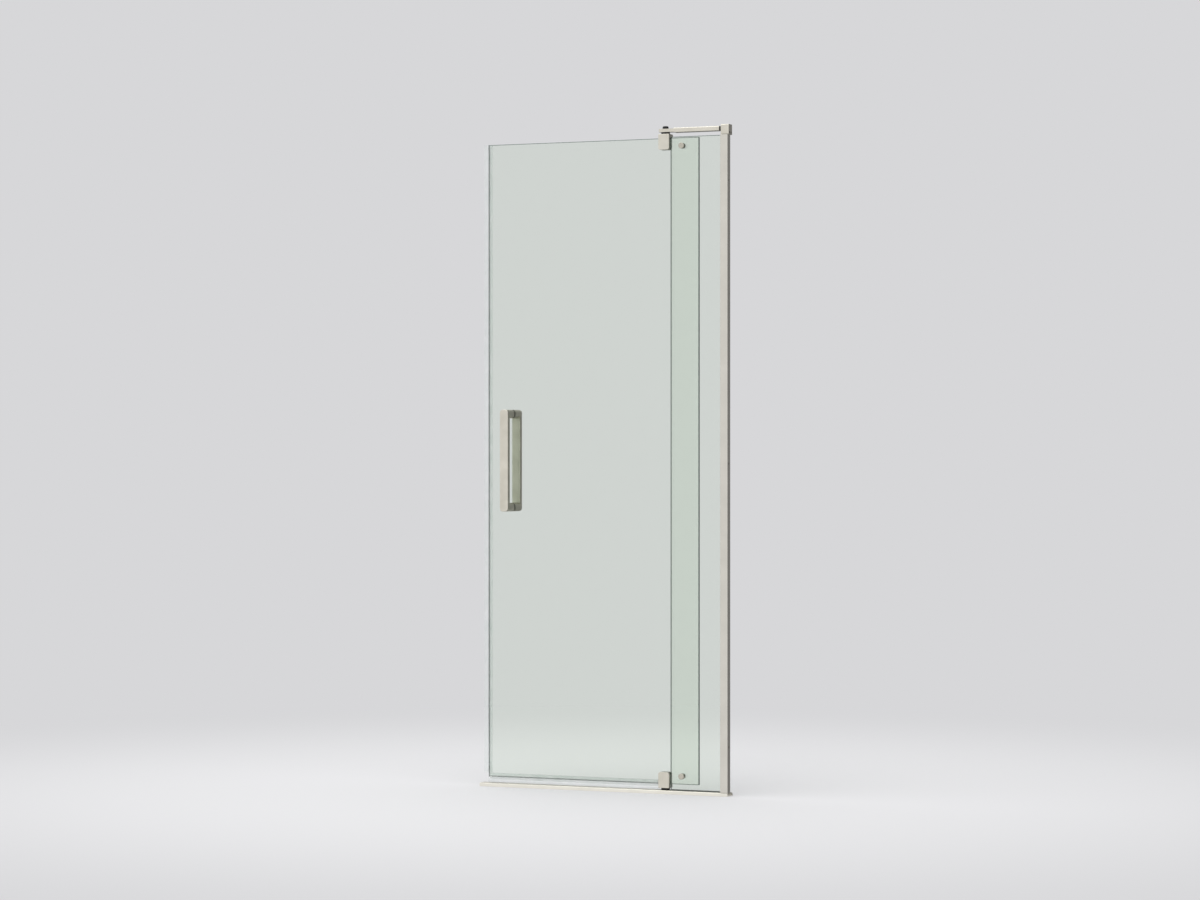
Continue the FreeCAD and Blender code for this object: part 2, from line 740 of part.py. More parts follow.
# ---------------------------------------------------------------- hinge blocks

def make_hinge_shell(name, side, lower):
    """One half of a hinge block: a clamp plate, a head past the glass and a key.

    The halves meet in the glass's middle plane past its edge, where they hold the
    bush between them. Screws run from the back half through the key, which stands
    in the notch of the glass, into the front half. The shell is drawn as an upper
    one, and a lower one is turned over about Y.
    """
    height = GLASS_Z if lower else DOOR_TOP_Z
    turn = Rotation(Y_AXIS, 180 if lower else 0)
    body = new_body(name, PIVOT_X, "0", height, turn)
    outer = f"({side} * block_depth / 2)"
    clamp = f"({side} * {CLAMP_FACE})"
    low = "(block_overhang - block_height)"
    half = "block_width / 2"
    profile = new_sketch(body, "profile", "YZ_Plane")
    outline(profile, [
        (outer, low),
        (outer, "block_overhang"),
        ("0", "block_overhang"),
        ("0", "glass_edge_gap"),
        (clamp, "glass_edge_gap"),
        (clamp, low),
    ])
    pad(body, profile, "block_width", side="Symmetric")
    far = edges_along(body, Y_AXIS, [(half, None, low), (f"-{half}", None, low)])
    dress(body, "Fillet", far, "block_corner_radius")
    near = edges_along(body, Y_AXIS, [
        (half, None, "block_overhang"),
        (f"-{half}", None, "block_overhang"),
    ])
    dress(body, "Fillet", near, "block_end_radius")
    dress(body, "Fillet", edges_on(body, Y_AXIS, [outer]), "block_edge_radius")
    key = new_sketch(body, "key", "XZ_Plane")
    key_half = "(notch_width / 2 - key_gap)"
    rectangle(key, f"-{key_half}", key_half, f"-{KEY_END}", "block_overhang / 2")
    pad(body, key, CLAMP_FACE, reverse=side > 0)
    seat = new_sketch(body, "bush_seat", "XY_Plane", offset="block_overhang")
    circle(seat, "bush_diameter + 2 * fit_gap")
    pocket(body, seat, "bush_length")
    screws = new_sketch(body, "screws", "XZ_Plane")
    diameter = "clamp_screw + 2 * fit_gap"
    circle(screws, diameter, up="-clamp_screw_inset")
    circle(screws, diameter, up="-(clamp_screw_inset + clamp_screw_pitch)")
    if side < 0:
        pocket(body, screws, f"{CLAMP_FACE} + clamp_thread", reverse=True)
        return
    pocket(body, screws)
    rims = pick_edges(body, lambda edge: (
        isinstance(edge.Curve, Part.Circle)
        and abs(edge.Curve.Center.y - number(outer)) < 1e-3
        and abs(edge.Curve.Radius - number(diameter) / 2) < 1e-3
    ))
    dress(body, "Chamfer", rims, "(clamp_head - clamp_screw) / 2 + fit_gap")


def make_hinge_gaskets():
    """Gasket pads between the hinge blocks and both faces of the glass."""
    middle = f"{GLASS_Z} + door_glass_height / 2"
    body = new_body("hinge_gaskets", PIVOT_X, "0", middle)
    edge = "door_glass_height / 2"
    half = "(block_width / 2 - pad_inset)"
    end = f"({edge} - block_height + block_overhang + pad_inset)"
    slot = "(notch_width / 2)"
    slot_end = f"({edge} - {KEY_END} - key_gap)"
    face = new_sketch(body, "face", "XZ_Plane", offset=HALF_GLASS)
    outline(face, [
        (f"-{half}", edge),
        (f"-{half}", end),
        (half, end),
        (half, edge),
        (slot, edge),
        (slot, slot_end),
        (f"-{slot}", slot_end),
        (f"-{slot}", edge),
    ])
    pad(body, face, "hinge_pad")
    far = edges_along(body, Y_AXIS, [(half, None, end), (f"-{half}", None, end)])
    dress(body, "Fillet", far, "block_corner_radius")
    mirror(body, "XZ_Plane")
    mirror(body, "XY_Plane")


def make_hinge_screws():
    """Countersunk clamp screws, two in each hinge block, put in from the back."""
    shank = "clamp_screw / 2"
    head = "clamp_head / 2"
    face = "block_depth / 2"
    height = f"{GLASS_Z} + clamp_screw_inset"
    body = turned_piece("hinge_screws", (PIVOT_X, "0", height), "Y", [
        (f"-({CLAMP_FACE} + clamp_thread - fit_gap)", "0"),
        (f"-({CLAMP_FACE} + clamp_thread - fit_gap)", shank),
        (f"{face} - {head} + {shank} - fit_gap", shank),
        (f"{face} - fit_gap", head),
        (f"{face} - fit_gap", "0"),
    ])
    repeat(body, "Z_Axis", "clamp_screw_pitch")
    repeat(body, "Z_Axis", "door_glass_height - 2 * clamp_screw_inset - clamp_screw_pitch")


# ------------------------------------------------------------------ door glass

def make_door_glass():
    """Door sheet: leaf and tail in one, notched for the hinges, drilled for the handle."""
    body = new_body("door_glass", PIVOT_X, "0", GLASS_Z)
    top = "door_glass_height"
    face = new_sketch(body, "face", "XZ_Plane")
    rectangle(face, "-leaf_reach", "tail_reach", "0", top)
    pad(body, face, "door_glass_thickness", side="Symmetric")
    finish_sheet(body, "door_glass_thickness", [
        ("-leaf_reach", None, "0"),
        ("-leaf_reach", None, top),
        ("tail_reach", None, "0"),
        ("tail_reach", None, top),
    ])
    half = "notch_width / 2"
    necks = new_sketch(body, "notch_necks", "XZ_Plane")
    rectangle(necks, f"-{half}", half, "-glass_arris", KEY_END)
    rectangle(necks, f"-{half}", half, f"{top} - {KEY_END}", f"{top} + glass_arris")
    pocket(body, necks)
    ends = new_sketch(body, "notch_ends", "XZ_Plane")
    circle(ends, "notch_width", up=KEY_END)
    circle(ends, "notch_width", up=f"{top} - {KEY_END}")
    pocket(body, ends)
    studs = new_sketch(body, "handle_holes", "XZ_Plane")
    for side in (-1, 1):
        height = f"handle_centre + {side} * {STUD_PITCH} / 2"
        circle(studs, "handle_glass_hole", across="handle_inset - leaf_reach", up=height)
    pocket(body, studs)


# ---------------------------------------------------------------------- handle

def make_handle(name, side):
    """Pull on one face of the door: a C from the side, round-cornered from the front."""
    body = new_body(name, HANDLE_X, "0", HANDLE_Z)
    outer = f"({side} * handle_reach)"
    inner = f"({side} * (handle_reach - handle_bar))"
    foot = f"({side} * {LEG_FACE})"
    end = "handle_length / 2"
    step = "(handle_length / 2 - handle_leg)"
    profile = new_sketch(body, "profile", "YZ_Plane")
    outline(profile, [
        (outer, f"-{end}"),
        (outer, end),
        (foot, end),
        (foot, step),
        (inner, step),
        (inner, f"-{step}"),
        (foot, f"-{step}"),
        (foot, f"-{end}"),
    ])
    pad(body, profile, "handle_width", side="Symmetric")
    corners = edges_along(body, Y_AXIS, [
        (f"{across} * handle_width / 2", None, f"{along} * {level}")
        for across in (-1, 1) for along in (-1, 1) for level in (end, step)
    ])
    dress(body, "Fillet", corners, "handle_corner_radius")
    dress(body, "Fillet", edges_on(body, Y_AXIS, [outer]), "handle_edge_radius")
    studs = new_sketch(body, "stud_bores", "XZ_Plane", offset=f"-({foot})")
    for level in (-1, 1):
        circle(studs, "handle_stud + 2 * fit_gap", up=f"{level} * {STUD_PITCH} / 2")
    pocket(body, studs, "handle_stud_reach + fit_gap", reverse=side < 0)
    if side < 0:
        return
    side_bore = new_sketch(body, "set_screw_hole", "XY_Plane", offset=f"-{end}")
    circle(side_bore, "handle_set_screw + 2 * fit_gap", up=f"{LEG_FACE} + handle_stud_reach / 2")
    hole = pocket(body, side_bore, "handle_leg / 2", reverse=True)
    repeat(body, "Z_Axis", STUD_PITCH, features=[hole])


def make_handle_fixings():
    """Studs, sleeves, washers and set screws that hold the two handles."""
    low = f"{HANDLE_Z} - {STUD_PITCH} / 2"
    end = f"{LEG_FACE} + handle_stud_reach"
    studs = turned_piece("handle_studs", (HANDLE_X, "0", low), "Y", [
        (f"-({end})", "0"),
        (f"-({end})", "handle_stud / 2"),
        (end, "handle_stud / 2"),
        (end, "0"),
    ])
    repeat(studs, "Z_Axis", STUD_PITCH)
    bore = "handle_stud / 2 + fit_gap"
    sleeves = turned_piece("handle_sleeves", (HANDLE_X, "0", low), "Y", [
        (f"-{HALF_GLASS}", bore),
        (f"-{HALF_GLASS}", "handle_glass_hole / 2 - fit_gap"),
        (HALF_GLASS, "handle_glass_hole / 2 - fit_gap"),
        (HALF_GLASS, bore),
    ])
    repeat(sleeves, "Z_Axis", STUD_PITCH)
    washers = new_body("handle_washers", HANDLE_X, "0", low)
    face = new_sketch(washers, "face", "XZ_Plane", offset=HALF_GLASS)
    across = "(handle_width / 2 - handle_washer_inset)"
    up = "(handle_leg / 2 - handle_washer_inset)"
    rectangle(face, f"-{across}", across, f"-{up}", up)
    circle(face, f"2 * ({bore})")
    pad(washers, face, "handle_washer")
    corners = edges_along(washers, Y_AXIS, [
        (f"{side} * {across}", None, f"{along} * {up}") for side in (-1, 1) for along in (-1, 1)
    ])
    dress(washers, "Fillet", corners, "handle_corner_radius - handle_washer_inset")
    mirror(washers, "XZ_Plane")
    repeat(washers, "Z_Axis", STUD_PITCH)
    seat = f"{LEG_FACE} + handle_stud_reach / 2"
    mouth = f"{HANDLE_Z} - handle_length / 2 + running_gap"
    set_screws = new_body("handle_set_screws", HANDLE_X, seat, mouth)
    plan = new_sketch(set_screws, "plan", "XY_Plane")
    circle(plan, "handle_set_screw")
    pad(set_screws, plan, "(handle_leg - handle_stud) / 2 - running_gap")
    repeat(set_screws, "Z_Axis", STUD_PITCH)


# ----------------------------------------------------------------------- stops

def make_stops():
    """Stop buttons: metal cap in front, sleeve in the glass, rubber bumper behind."""
    place = (STOP_X, PANEL_Y, f"{GLASS_Z} + stop_inset")
    pitch = "door_glass_height - 2 * stop_inset"
    bore = "stop_screw / 2 + fit_gap"
    front = f"-({HALF_PANEL})"
    face = f"-({HALF_PANEL} + stop_thickness)"
    thread = f"-({HALF_PANEL} + stop_thread)"
    caps = turned_piece("stop_caps", place, "Y", [
        (front, bore),
        (front, "stop_diameter / 2"),
        (face, "stop_diameter / 2"),
        (face, "0"),
        (f"{thread} - fit_gap", "0"),
        (f"{thread} - fit_gap", bore),
    ])
    rim = pick_edges(caps, lambda edge: (
        isinstance(edge.Curve, Part.Circle) and abs(edge.Curve.Center.y - number(face)) < 1e-3
    ))
    dress(caps, "Fillet", rim, "stop_edge_radius")
    repeat(caps, "Z_Axis", pitch)
    sleeves = turned_piece("stop_sleeves", place, "Y", [
        (front, bore),
        (front, "stop_hole / 2 - fit_gap"),
        (HALF_PANEL, "stop_hole / 2 - fit_gap"),
        (HALF_PANEL, bore),
    ])
    repeat(sleeves, "Z_Axis", pitch)
    back = f"{HALF_PANEL} + {BUMPER}"
    seat = f"{back} - stop_head_recess"
    recess = "stop_screw_head / 2 + fit_gap"
    bumpers = turned_piece("stop_bumpers", place, "Y", [
        (HALF_PANEL, bore),
        (HALF_PANEL, "bumper_diameter / 2"),
        (back, "bumper_diameter / 2"),
        (back, recess),
        (seat, recess),
        (seat, bore),
    ])
    repeat(bumpers, "Z_Axis", pitch)
    screws = turned_piece("stop_screws", place, "Y", [
        (thread, "0"),
        (thread, "stop_screw / 2"),
        (seat, "stop_screw / 2"),
        (seat, "stop_screw_head / 2"),
        (f"{seat} + stop_head_thickness", "stop_screw_head / 2"),
        (f"{seat} + stop_head_thickness", "0"),
    ])
    repeat(screws, "Z_Axis", pitch)


# ----------------------------------------------------------------------- seals

def make_edge_seal():
    """Clear seal pushed on the strike edge, with a fin that reaches for the wall."""
    base = f"{GLASS_Z} + sweep_leg + seal_joint"
    body = new_body("edge_seal", STRIKE_X, "0", base)
    plan = new_sketch(body, "plan", "XY_Plane")
    outline(plan, [
        ("0", HALF_GLASS),
        ("seal_leg", HALF_GLASS),
        ("seal_leg", SEAL_FACE),
        ("-seal_wall", SEAL_FACE),
        ("-seal_wall", "seal_wall / 2"),
        ("-seal_reach", "seal_tip / 2"),
        ("-seal_reach", "-seal_tip / 2"),
        ("-seal_wall", "-seal_wall / 2"),
        ("-seal_wall", f"-{SEAL_FACE}"),
        ("seal_leg", f"-{SEAL_FACE}"),
        ("seal_leg", f"-{HALF_GLASS}"),
        ("0", f"-{HALF_GLASS}"),
    ])
    pad(body, plan, "door_glass_height - sweep_leg - seal_joint")


def make_bottom_sweep():
    """Clear sweep on the bottom edge, with a skirt and an inward drip rail."""
    body = new_body("bottom_sweep", STRIKE_X, "0", GLASS_Z)
    profile = new_sketch(body, "profile", "YZ_Plane")
    outline(profile, [
        (f"-{SEAL_FACE}", "sweep_leg"),
        (f"-{HALF_GLASS}", "sweep_leg"),
        (f"-{HALF_GLASS}", "0"),
        (HALF_GLASS, "0"),
        (HALF_GLASS, "sweep_leg"),
        (SEAL_FACE, "sweep_leg"),
        (SEAL_FACE, "-seal_wall / 2"),
        (f"{SEAL_FACE} + rail_reach", "-rail_drop"),
        (f"{SEAL_FACE} + rail_reach - seal_wall", "-(rail_drop + seal_wall / 2)"),
        (f"{HALF_GLASS} - seal_wall", "-seal_wall"),
        (f"-{HALF_GLASS}", "-seal_wall"),
        (f"-{HALF_GLASS}", f"-{SWEEP_DROP}"),
        (f"-{SEAL_FACE}", f"-{SWEEP_DROP}"),
    ])
    pad(body, profile, "leaf_reach - block_width / 2 - sweep_end_gap")


make_threshold()
make_threshold_nut()
make_wall_jamb()
make_jamb_gasket()
make_fixed_panel()
make_panel_shoe()
make_support_bar()
make_bar_spacer()
make_bar_stud()
make_wall_bracket()
make_bracket_set_screw()
make_top_pivot()
make_bottom_pivot()
make_pivot_bushes()
make_hinge_shell("upper_hinge_front", -1, lower=False)
make_hinge_shell("upper_hinge_back", 1, lower=False)
make_hinge_shell("lower_hinge_front", -1, lower=True)
make_hinge_shell("lower_hinge_back", 1, lower=True)
make_hinge_gaskets()
make_hinge_screws()
make_door_glass()
make_handle("handle_front", -1)
make_handle("handle_rear", 1)
make_handle_fixings()
make_stops()
make_edge_seal()
make_bottom_sweep()

# Solids in each piece that is a set of like ones; every other piece is one solid.
SETS = {
    "pivot_bushes": 2,
    "hinge_gaskets": 4,
    "hinge_screws": 4,
    "handle_studs": 2,
    "handle_sleeves": 2,
    "handle_washers": 4,
    "handle_set_screws": 2,
    "stop_caps": 2,
    "stop_sleeves": 2,
    "stop_bumpers": 2,
    "stop_screws": 2,
}

doc.recompute()
failed = [item.Name for item in doc.Objects if "Invalid" in item.State or "Error" in item.State]
if failed:
    raise ValueError(f"failed objects: {failed}")

pieces = [item for item in doc.Objects if item.TypeId == "PartDesign::Body"]
os.makedirs("parts", exist_ok=True)
for piece in pieces:
    shape = piece.Shape
    if shape.isNull() or not shape.isValid():
        raise ValueError(f"bad shape: {piece.Label}")
    if len(shape.Solids) != SETS.get(piece.Label, 1):
        raise ValueError(f"{piece.Label} has {len(shape.Solids)} solids")
for piece in pieces:
    piece.Shape.exportStep(f"parts/{piece.Label}.step")
    print(f"{piece.Label}: {piece.Shape.Volume / 1000:.2f} cm3")
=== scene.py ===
"""Pivot shower door for an alcove: finishes, small fittings, studio and camera.

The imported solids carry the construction. This file gives each of them its finish,
replaces the clear seals and the small screws with finer pieces, and sets the studio.
Lengths in the fittings and sub-assemblies are millimetres. Meshes and the studio are
in metres, in the solids' frame: X across the opening, Y into the shower, Z up.
"""
import logging
import math
from dataclasses import dataclass
from enum import Enum

import bmesh
import bpy
from mathutils import Matrix, Vector


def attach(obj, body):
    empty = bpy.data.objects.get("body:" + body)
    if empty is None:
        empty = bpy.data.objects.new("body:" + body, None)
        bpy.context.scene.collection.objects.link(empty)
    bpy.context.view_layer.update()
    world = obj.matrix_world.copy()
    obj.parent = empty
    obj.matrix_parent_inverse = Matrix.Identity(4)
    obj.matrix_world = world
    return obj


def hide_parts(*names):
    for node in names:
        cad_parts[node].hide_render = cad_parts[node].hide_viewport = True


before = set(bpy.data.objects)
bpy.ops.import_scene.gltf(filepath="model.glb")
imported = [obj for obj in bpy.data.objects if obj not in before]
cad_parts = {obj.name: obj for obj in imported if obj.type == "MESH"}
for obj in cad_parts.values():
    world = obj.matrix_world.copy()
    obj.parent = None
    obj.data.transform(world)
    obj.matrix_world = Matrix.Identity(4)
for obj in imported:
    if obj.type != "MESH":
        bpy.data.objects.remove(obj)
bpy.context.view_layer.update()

log = logging.getLogger("pivot_door")
# One millimetre in metres.
MM = 0.001
# The attribute that keeps each point's distance from its fitting's axis.
TURNED = "turned_radius"
# A noise seldom leaves this range, so patterns are spread over it.
PATTERN_LOW, PATTERN_HIGH = 0.3, 0.7
# A thread's depth in mm, and the rings drawn for each of its turns.
THREAD_DEPTH = 0.35
RINGS_PER_TURN = 6


class Body(Enum):
    """The two bodies of the door, by the frame's names."""

    FRAME = "frame"
    DOOR = "door"


class Slot(Enum):
    """The record's material slots, named on each new piece; its finish comes from its own
    Finish.
    """

    NICKEL = "brushed_nickel"
    STEEL = "stainless_steel"
    VINYL = "clear_vinyl"


class Axis(Enum):
    """A frame axis, for grain directions and for the way a fitting points."""

    X = 0
    Y = 1
    Z = 2


class Outline(Enum):
    """The cross-section of one ring of a turned fitting."""

    ROUND = "round"
    HEX = "hex"
    THREAD = "thread"


def linear(colour: str) -> tuple[float, float, float, float]:
    """Turn an sRGB hex colour into linear values.

    Args:
        colour: the colour as "#RRGGBB".

    Returns:
        Linear red, green and blue, and an alpha of one.
    """
    channels = [int(colour[start:start + 2], 16) / 255 for start in (1, 3, 5)]
    red, green, blue = (
        value / 12.92 if value <= 0.04045 else ((value + 0.055) / 1.055) ** 2.4
        for value in channels
    )
    return red, green, blue, 1.0


def add_node(
    tree: bpy.types.NodeTree,
    kind: str,
    settings: dict[str, object] | None = None,
    inputs: dict[str | int, object] | None = None,
) -> bpy.types.Node:
    """Add a node to a tree with its settings, values and links.

    Args:
        tree: the node tree.
        kind: the node's type name.
        settings: properties of the node.
        inputs: values or output sockets, by the name or number of the input.

    Returns:
        The new node.
    """
    node = tree.nodes.new(kind)
    for name, value in (settings or {}).items():
        setattr(node, name, value)
    for name, value in (inputs or {}).items():
        if isinstance(value, bpy.types.NodeSocket):
            tree.links.new(value, node.inputs[name])
        else:
            node.inputs[name].default_value = value
    return node


# ------------------------------------------------------------------- finishes


@dataclass(frozen=True)
class Finish:
    """A finish that can be made into one material; subclasses wire the shader."""

    name: str
    colour: str
    roughness: float

    def material(self) -> bpy.types.Material:
        """Make this finish's material on the first call, and find it after that.

        Returns:
            The material.
        """
        made = bpy.data.materials.get(self.name)
        if made is not None:
            return made
        made = bpy.data.materials.new(self.name)
        made.use_nodes = True
        made.diffuse_color = linear(self.colour)
        tree = made.node_tree
        shader = tree.nodes["Principled BSDF"]
        shader.inputs["Base Color"].default_value = linear(self.colour)
        shader.inputs["Roughness"].default_value = self.roughness
        self.wire(tree, shader)
        return made

    def wire(self, tree: bpy.types.NodeTree, shader: bpy.types.Node) -> None:
        """Add what the finish has beyond a colour and a roughness.

        Args:
            tree: the material's node tree.
            shader: its Principled node.
        """

    def place(self, tree: bpy.types.NodeTree) -> bpy.types.NodeSocket:
        """Return the socket that gives a point's place on the piece, in metres."""
        return add_node(tree, "ShaderNodeTexCoord").outputs["Object"]

    def noise(
        self,
        tree: bpy.types.NodeTree,
        size_mm: tuple[float, float, float],
        detail: float = 2.0,
    ) -> bpy.types.NodeSocket:
        """Add a noise whose cells have a real size.

        Args:
            tree: the material's node tree.
            size_mm: the cells' size along X, Y and Z.
            detail: how many finer layers there are.

        Returns:
            The noise's value, about 0.5 on average.
        """
        scale = tuple(1 / (size * MM) for size in size_mm)
        spread = add_node(
            tree, "ShaderNodeMapping", inputs={"Vector": self.place(tree), "Scale": scale}
        )
        noise = add_node(
            tree,
            "ShaderNodeTexNoise",
            inputs={"Vector": spread.outputs["Vector"], "Scale": 1.0, "Detail": detail},
        )
        return noise.outputs["Fac"]

    def vary_roughness(
        self, tree: bpy.types.NodeTree, shader: bpy.types.Node,
        pattern: bpy.types.NodeSocket, spread: float,
    ) -> None:
        """Let a pattern move the roughness about its middle value.

        Args:
            tree: the material's node tree.
            shader: its Principled node.
            pattern: a value about 0.5 on average.
            spread: the change over the pattern's usual range.
        """
        ranged = add_node(
            tree,
            "ShaderNodeMapRange",
            inputs={
                "Value": pattern,
                "From Min": PATTERN_LOW,
                "From Max": PATTERN_HIGH,
                "To Min": self.roughness - spread / 2,
                "To Max": self.roughness + spread / 2,
            },
        )
        tree.links.new(ranged.outputs["Result"], shader.inputs["Roughness"])

    def vary_colour(
        self, tree: bpy.types.NodeTree, shader: bpy.types.Node,
        pattern: bpy.types.NodeSocket, other: str,
    ) -> None:
        """Let a pattern mix the colour with a close one.

        Args:
            tree: the material's node tree.
            shader: its Principled node.
            pattern: a value about 0.5 on average.
            other: the second colour.
        """
        ramp = add_node(tree, "ShaderNodeValToRGB", inputs={"Fac": pattern})
        stops = ((PATTERN_LOW, other), (PATTERN_HIGH, self.colour))
        for element, (position, colour) in zip(ramp.color_ramp.elements, stops):
            element.position = position
            element.color = linear(colour)
        tree.links.new(ramp.outputs["Color"], shader.inputs["Base Color"])

    def emboss(
        self, tree: bpy.types.NodeTree, shader: bpy.types.Node,
        pattern: bpy.types.NodeSocket, height_mm: float, strength: float = 1.0,
    ) -> None:
        """Let a pattern raise the surface.

        Args:
            tree: the material's node tree.
            shader: its Principled node.
            pattern: the height, from 0 to 1.
            height_mm: how far a height of one stands up.
            strength: how much of it is used.
        """
        bump = add_node(
            tree,
            "ShaderNodeBump",
            inputs={"Strength": strength, "Distance": height_mm * MM, "Height": pattern},
        )
        tree.links.new(bump.outputs["Normal"], shader.inputs["Normal"])


@dataclass(frozen=True)
class GrainedMetal(Finish):
    """Metal brushed or drawn in one direction: long fine lines, and a soft sheen."""

    grain: Axis = Axis.Z
    line_mm: float = 0.7
    run_mm: float = 60.0
    depth_mm: float = 0.012
    cloud_mm: float = 45.0
    second: str = "#BFBBAE"
    spread: float = 0.12

    def wire(self, tree: bpy.types.NodeTree, shader: bpy.types.Node) -> None:
        """Stretch fine lines along the grain, with broad clouding over them.

        Args:
            tree: the material's node tree.
            shader: its Principled node.
        """
        shader.inputs["Metallic"].default_value = 1.0
        size = [self.line_mm] * 3
        size[self.grain.value] = self.run_mm
        lines = self.noise(tree, tuple(size), detail=3.0)
        clouds = self.noise(tree, (self.cloud_mm,) * 3)
        self.vary_roughness(tree, shader, lines, self.spread)
        self.vary_colour(tree, shader, clouds, self.second)
        self.emboss(tree, shader, lines, self.depth_mm)


@dataclass(frozen=True)
class TurnedMetal(Finish):
    """Metal faced on a lathe: rings about its own axis, read from the piece."""

    ring_mm: float = 0.55
    depth_mm: float = 0.01
    cloud_mm: float = 6.0
    second: str = "#A9A598"
    spread: float = 0.14

    def wire(self, tree: bpy.types.NodeTree, shader: bpy.types.Node) -> None:
        """Draw tool rings by each point's distance from its axis.

        Args:
            tree: the material's node tree.
            shader: its Principled node.
        """
        shader.inputs["Metallic"].default_value = 1.0
        radius = add_node(tree, "ShaderNodeAttribute", {"attribute_name": TURNED})
        rings = add_node(
            tree,
            "ShaderNodeTexNoise",
            {"noise_dimensions": "1D"},
            {"W": radius.outputs["Fac"], "Scale": 1 / (self.ring_mm * MM), "Detail": 1.0},
        )
        clouds = self.noise(tree, (self.cloud_mm,) * 3)
        self.vary_roughness(tree, shader, rings.outputs["Fac"], self.spread)
        self.vary_colour(tree, shader, clouds, self.second)
        self.emboss(tree, shader, rings.outputs["Fac"], self.depth_mm)


@dataclass(frozen=True)
class TemperedGlass(Finish):
    """Clear float glass, tempered: a faint green, with a painted dark green shade along the
    edges.
    """

    index: float = 1.52
    absorbed: str = "#74B85D"
    density: float = 20.0
    # Painted shade: the edges' dark green colour and low clearness stand in for how dark the
    # edges look by refraction; the green is partly the glass's own tint.
    edge: str = "#3D554D"
    edge_clearness: float = 0.3
    edge_roughness: float = 0.35
    # How square to the sheet a normal is where the point is on a face, not an edge.
    squareness: float = 0.9

    def wire(self, tree: bpy.types.NodeTree, shader: bpy.types.Node) -> None:
        """Make the faces clear, the body a little green and the ground edges dull, with painted
        dark shade on them.

        Args:
            tree: the material's node tree.
            shader: its Principled node.
        """
        shader.inputs["IOR"].default_value = self.index
        facing = add_node(
            tree,
            "ShaderNodeSeparateXYZ",
            inputs={0: add_node(tree, "ShaderNodeTexCoord").outputs["Normal"]},
        )
        flat = add_node(
            tree, "ShaderNodeMath", {"operation": "ABSOLUTE"}, {0: facing.outputs["Y"]}
        )
        on_face = add_node(
            tree,
            "ShaderNodeMath",
            {"operation": "GREATER_THAN"},
            {0: flat.outputs[0], 1: self.squareness},
        ).outputs[0]
        for name, edge, face in (
            ("Transmission Weight", self.edge_clearness, 1.0),
            ("Roughness", self.edge_roughness, self.roughness),
        ):
            either = add_node(
                tree,
                "ShaderNodeMapRange",
                inputs={"Value": on_face, "To Min": edge, "To Max": face},
            )
            tree.links.new(either.outputs["Result"], shader.inputs[name])
        # Painted shade: the edges take the dark green colour, and the faces stay white.
        edge_painted_shade = add_node(
            tree,
            "ShaderNodeMix",
            {"data_type": "RGBA"},
            {"Factor": on_face, "A": linear(self.edge), "B": linear(self.colour)},
        )
        tree.links.new(edge_painted_shade.outputs["Result"], shader.inputs["Base Color"])
        body = add_node(
            tree,
            "ShaderNodeVolumeAbsorption",
            inputs={"Color": linear(self.absorbed), "Density": self.density},
        )
        output = tree.nodes["Material Output"]
        tree.links.new(body.outputs["Volume"], output.inputs["Volume"])


@dataclass(frozen=True)
class ExtrudedVinyl(Finish):
    """Soft clear PVC: slightly milky, with fine die lines along its length."""

    run: Axis = Axis.Z
    index: float = 1.53
    clearness: float = 0.96
    line_mm: float = 0.8
    run_mm: float = 250.0
    depth_mm: float = 0.004
    relief: float = 0.4
    cloud_mm: float = 30.0
    second: str = "#F4F8F6"
    spread: float = 0.04

    def wire(self, tree: bpy.types.NodeTree, shader: bpy.types.Node) -> None:
        """Draw die lines, and let most of the light through.

        Args:
            tree: the material's node tree.
            shader: its Principled node.
        """
        shader.inputs["Transmission Weight"].default_value = self.clearness
        shader.inputs["IOR"].default_value = self.index
        size = [self.line_mm] * 3
        size[self.run.value] = self.run_mm
        lines = self.noise(tree, tuple(size), detail=1.0)
        clouds = self.noise(tree, (self.cloud_mm,) * 3)
        self.vary_roughness(tree, shader, lines, self.spread)
        self.vary_colour(tree, shader, clouds, self.second)
        self.emboss(tree, shader, lines, self.depth_mm, self.relief)


@dataclass(frozen=True)
class MouldedPlastic(Finish):
    """Injection-moulded nylon or rubber: a fine spark-eroded grain, no gloss."""

    second: str = "#141415"
    grain_mm: float = 0.35
    depth_mm: float = 0.02
    bloom_mm: float = 9.0
    spread: float = 0.12
    shine: float = 0.3

    def wire(self, tree: bpy.types.NodeTree, shader: bpy.types.Node) -> None:
        """Grain the surface evenly, with a slight bloom.

        Args:
            tree: the material's node tree.
            shader: its Principled node.
        """
        shader.inputs["Specular IOR Level"].default_value = self.shine
        grain = self.noise(tree, (self.grain_mm,) * 3)
        bloom = self.noise(tree, (self.bloom_mm,) * 3)
        self.vary_roughness(tree, shader, bloom, self.spread)
        self.vary_colour(tree, shader, bloom, self.second)
        self.emboss(tree, shader, grain, self.depth_mm)


# Brushed nickel plate on zinc and steel: warm grey, satin, brushed before plating.
# Real scratches are about 0.1 mm apart; they are drawn at 0.7 mm so that they show.
NICKEL_UPRIGHT = GrainedMetal("Brushed nickel, upright grain", "#CFCBBF", 0.33)
NICKEL_LEVEL = GrainedMetal("Brushed nickel, level grain", "#CFCBBF", 0.33, grain=Axis.X)
# The pulls are brushed on a belt, which leaves them a little duller than the blocks.
NICKEL_PULL = GrainedMetal("Brushed nickel, belt grain", "#CFCBBF", 0.4)
# The button caps are turned, then plated thinly: darker, with a tighter shine.
NICKEL_TURNED = TurnedMetal("Nickel, faced on a lathe", "#BAB6AB", 0.2)
# Extruded aluminium, bead-blasted and anodised to match the nickel: paler and duller.
ANODISED_UPRIGHT = GrainedMetal(
    "Anodised aluminium, upright", "#C9C6BD", 0.42, line_mm=1.4, run_mm=400.0,
    depth_mm=0.006, second="#C3C0B7", spread=0.06,
)
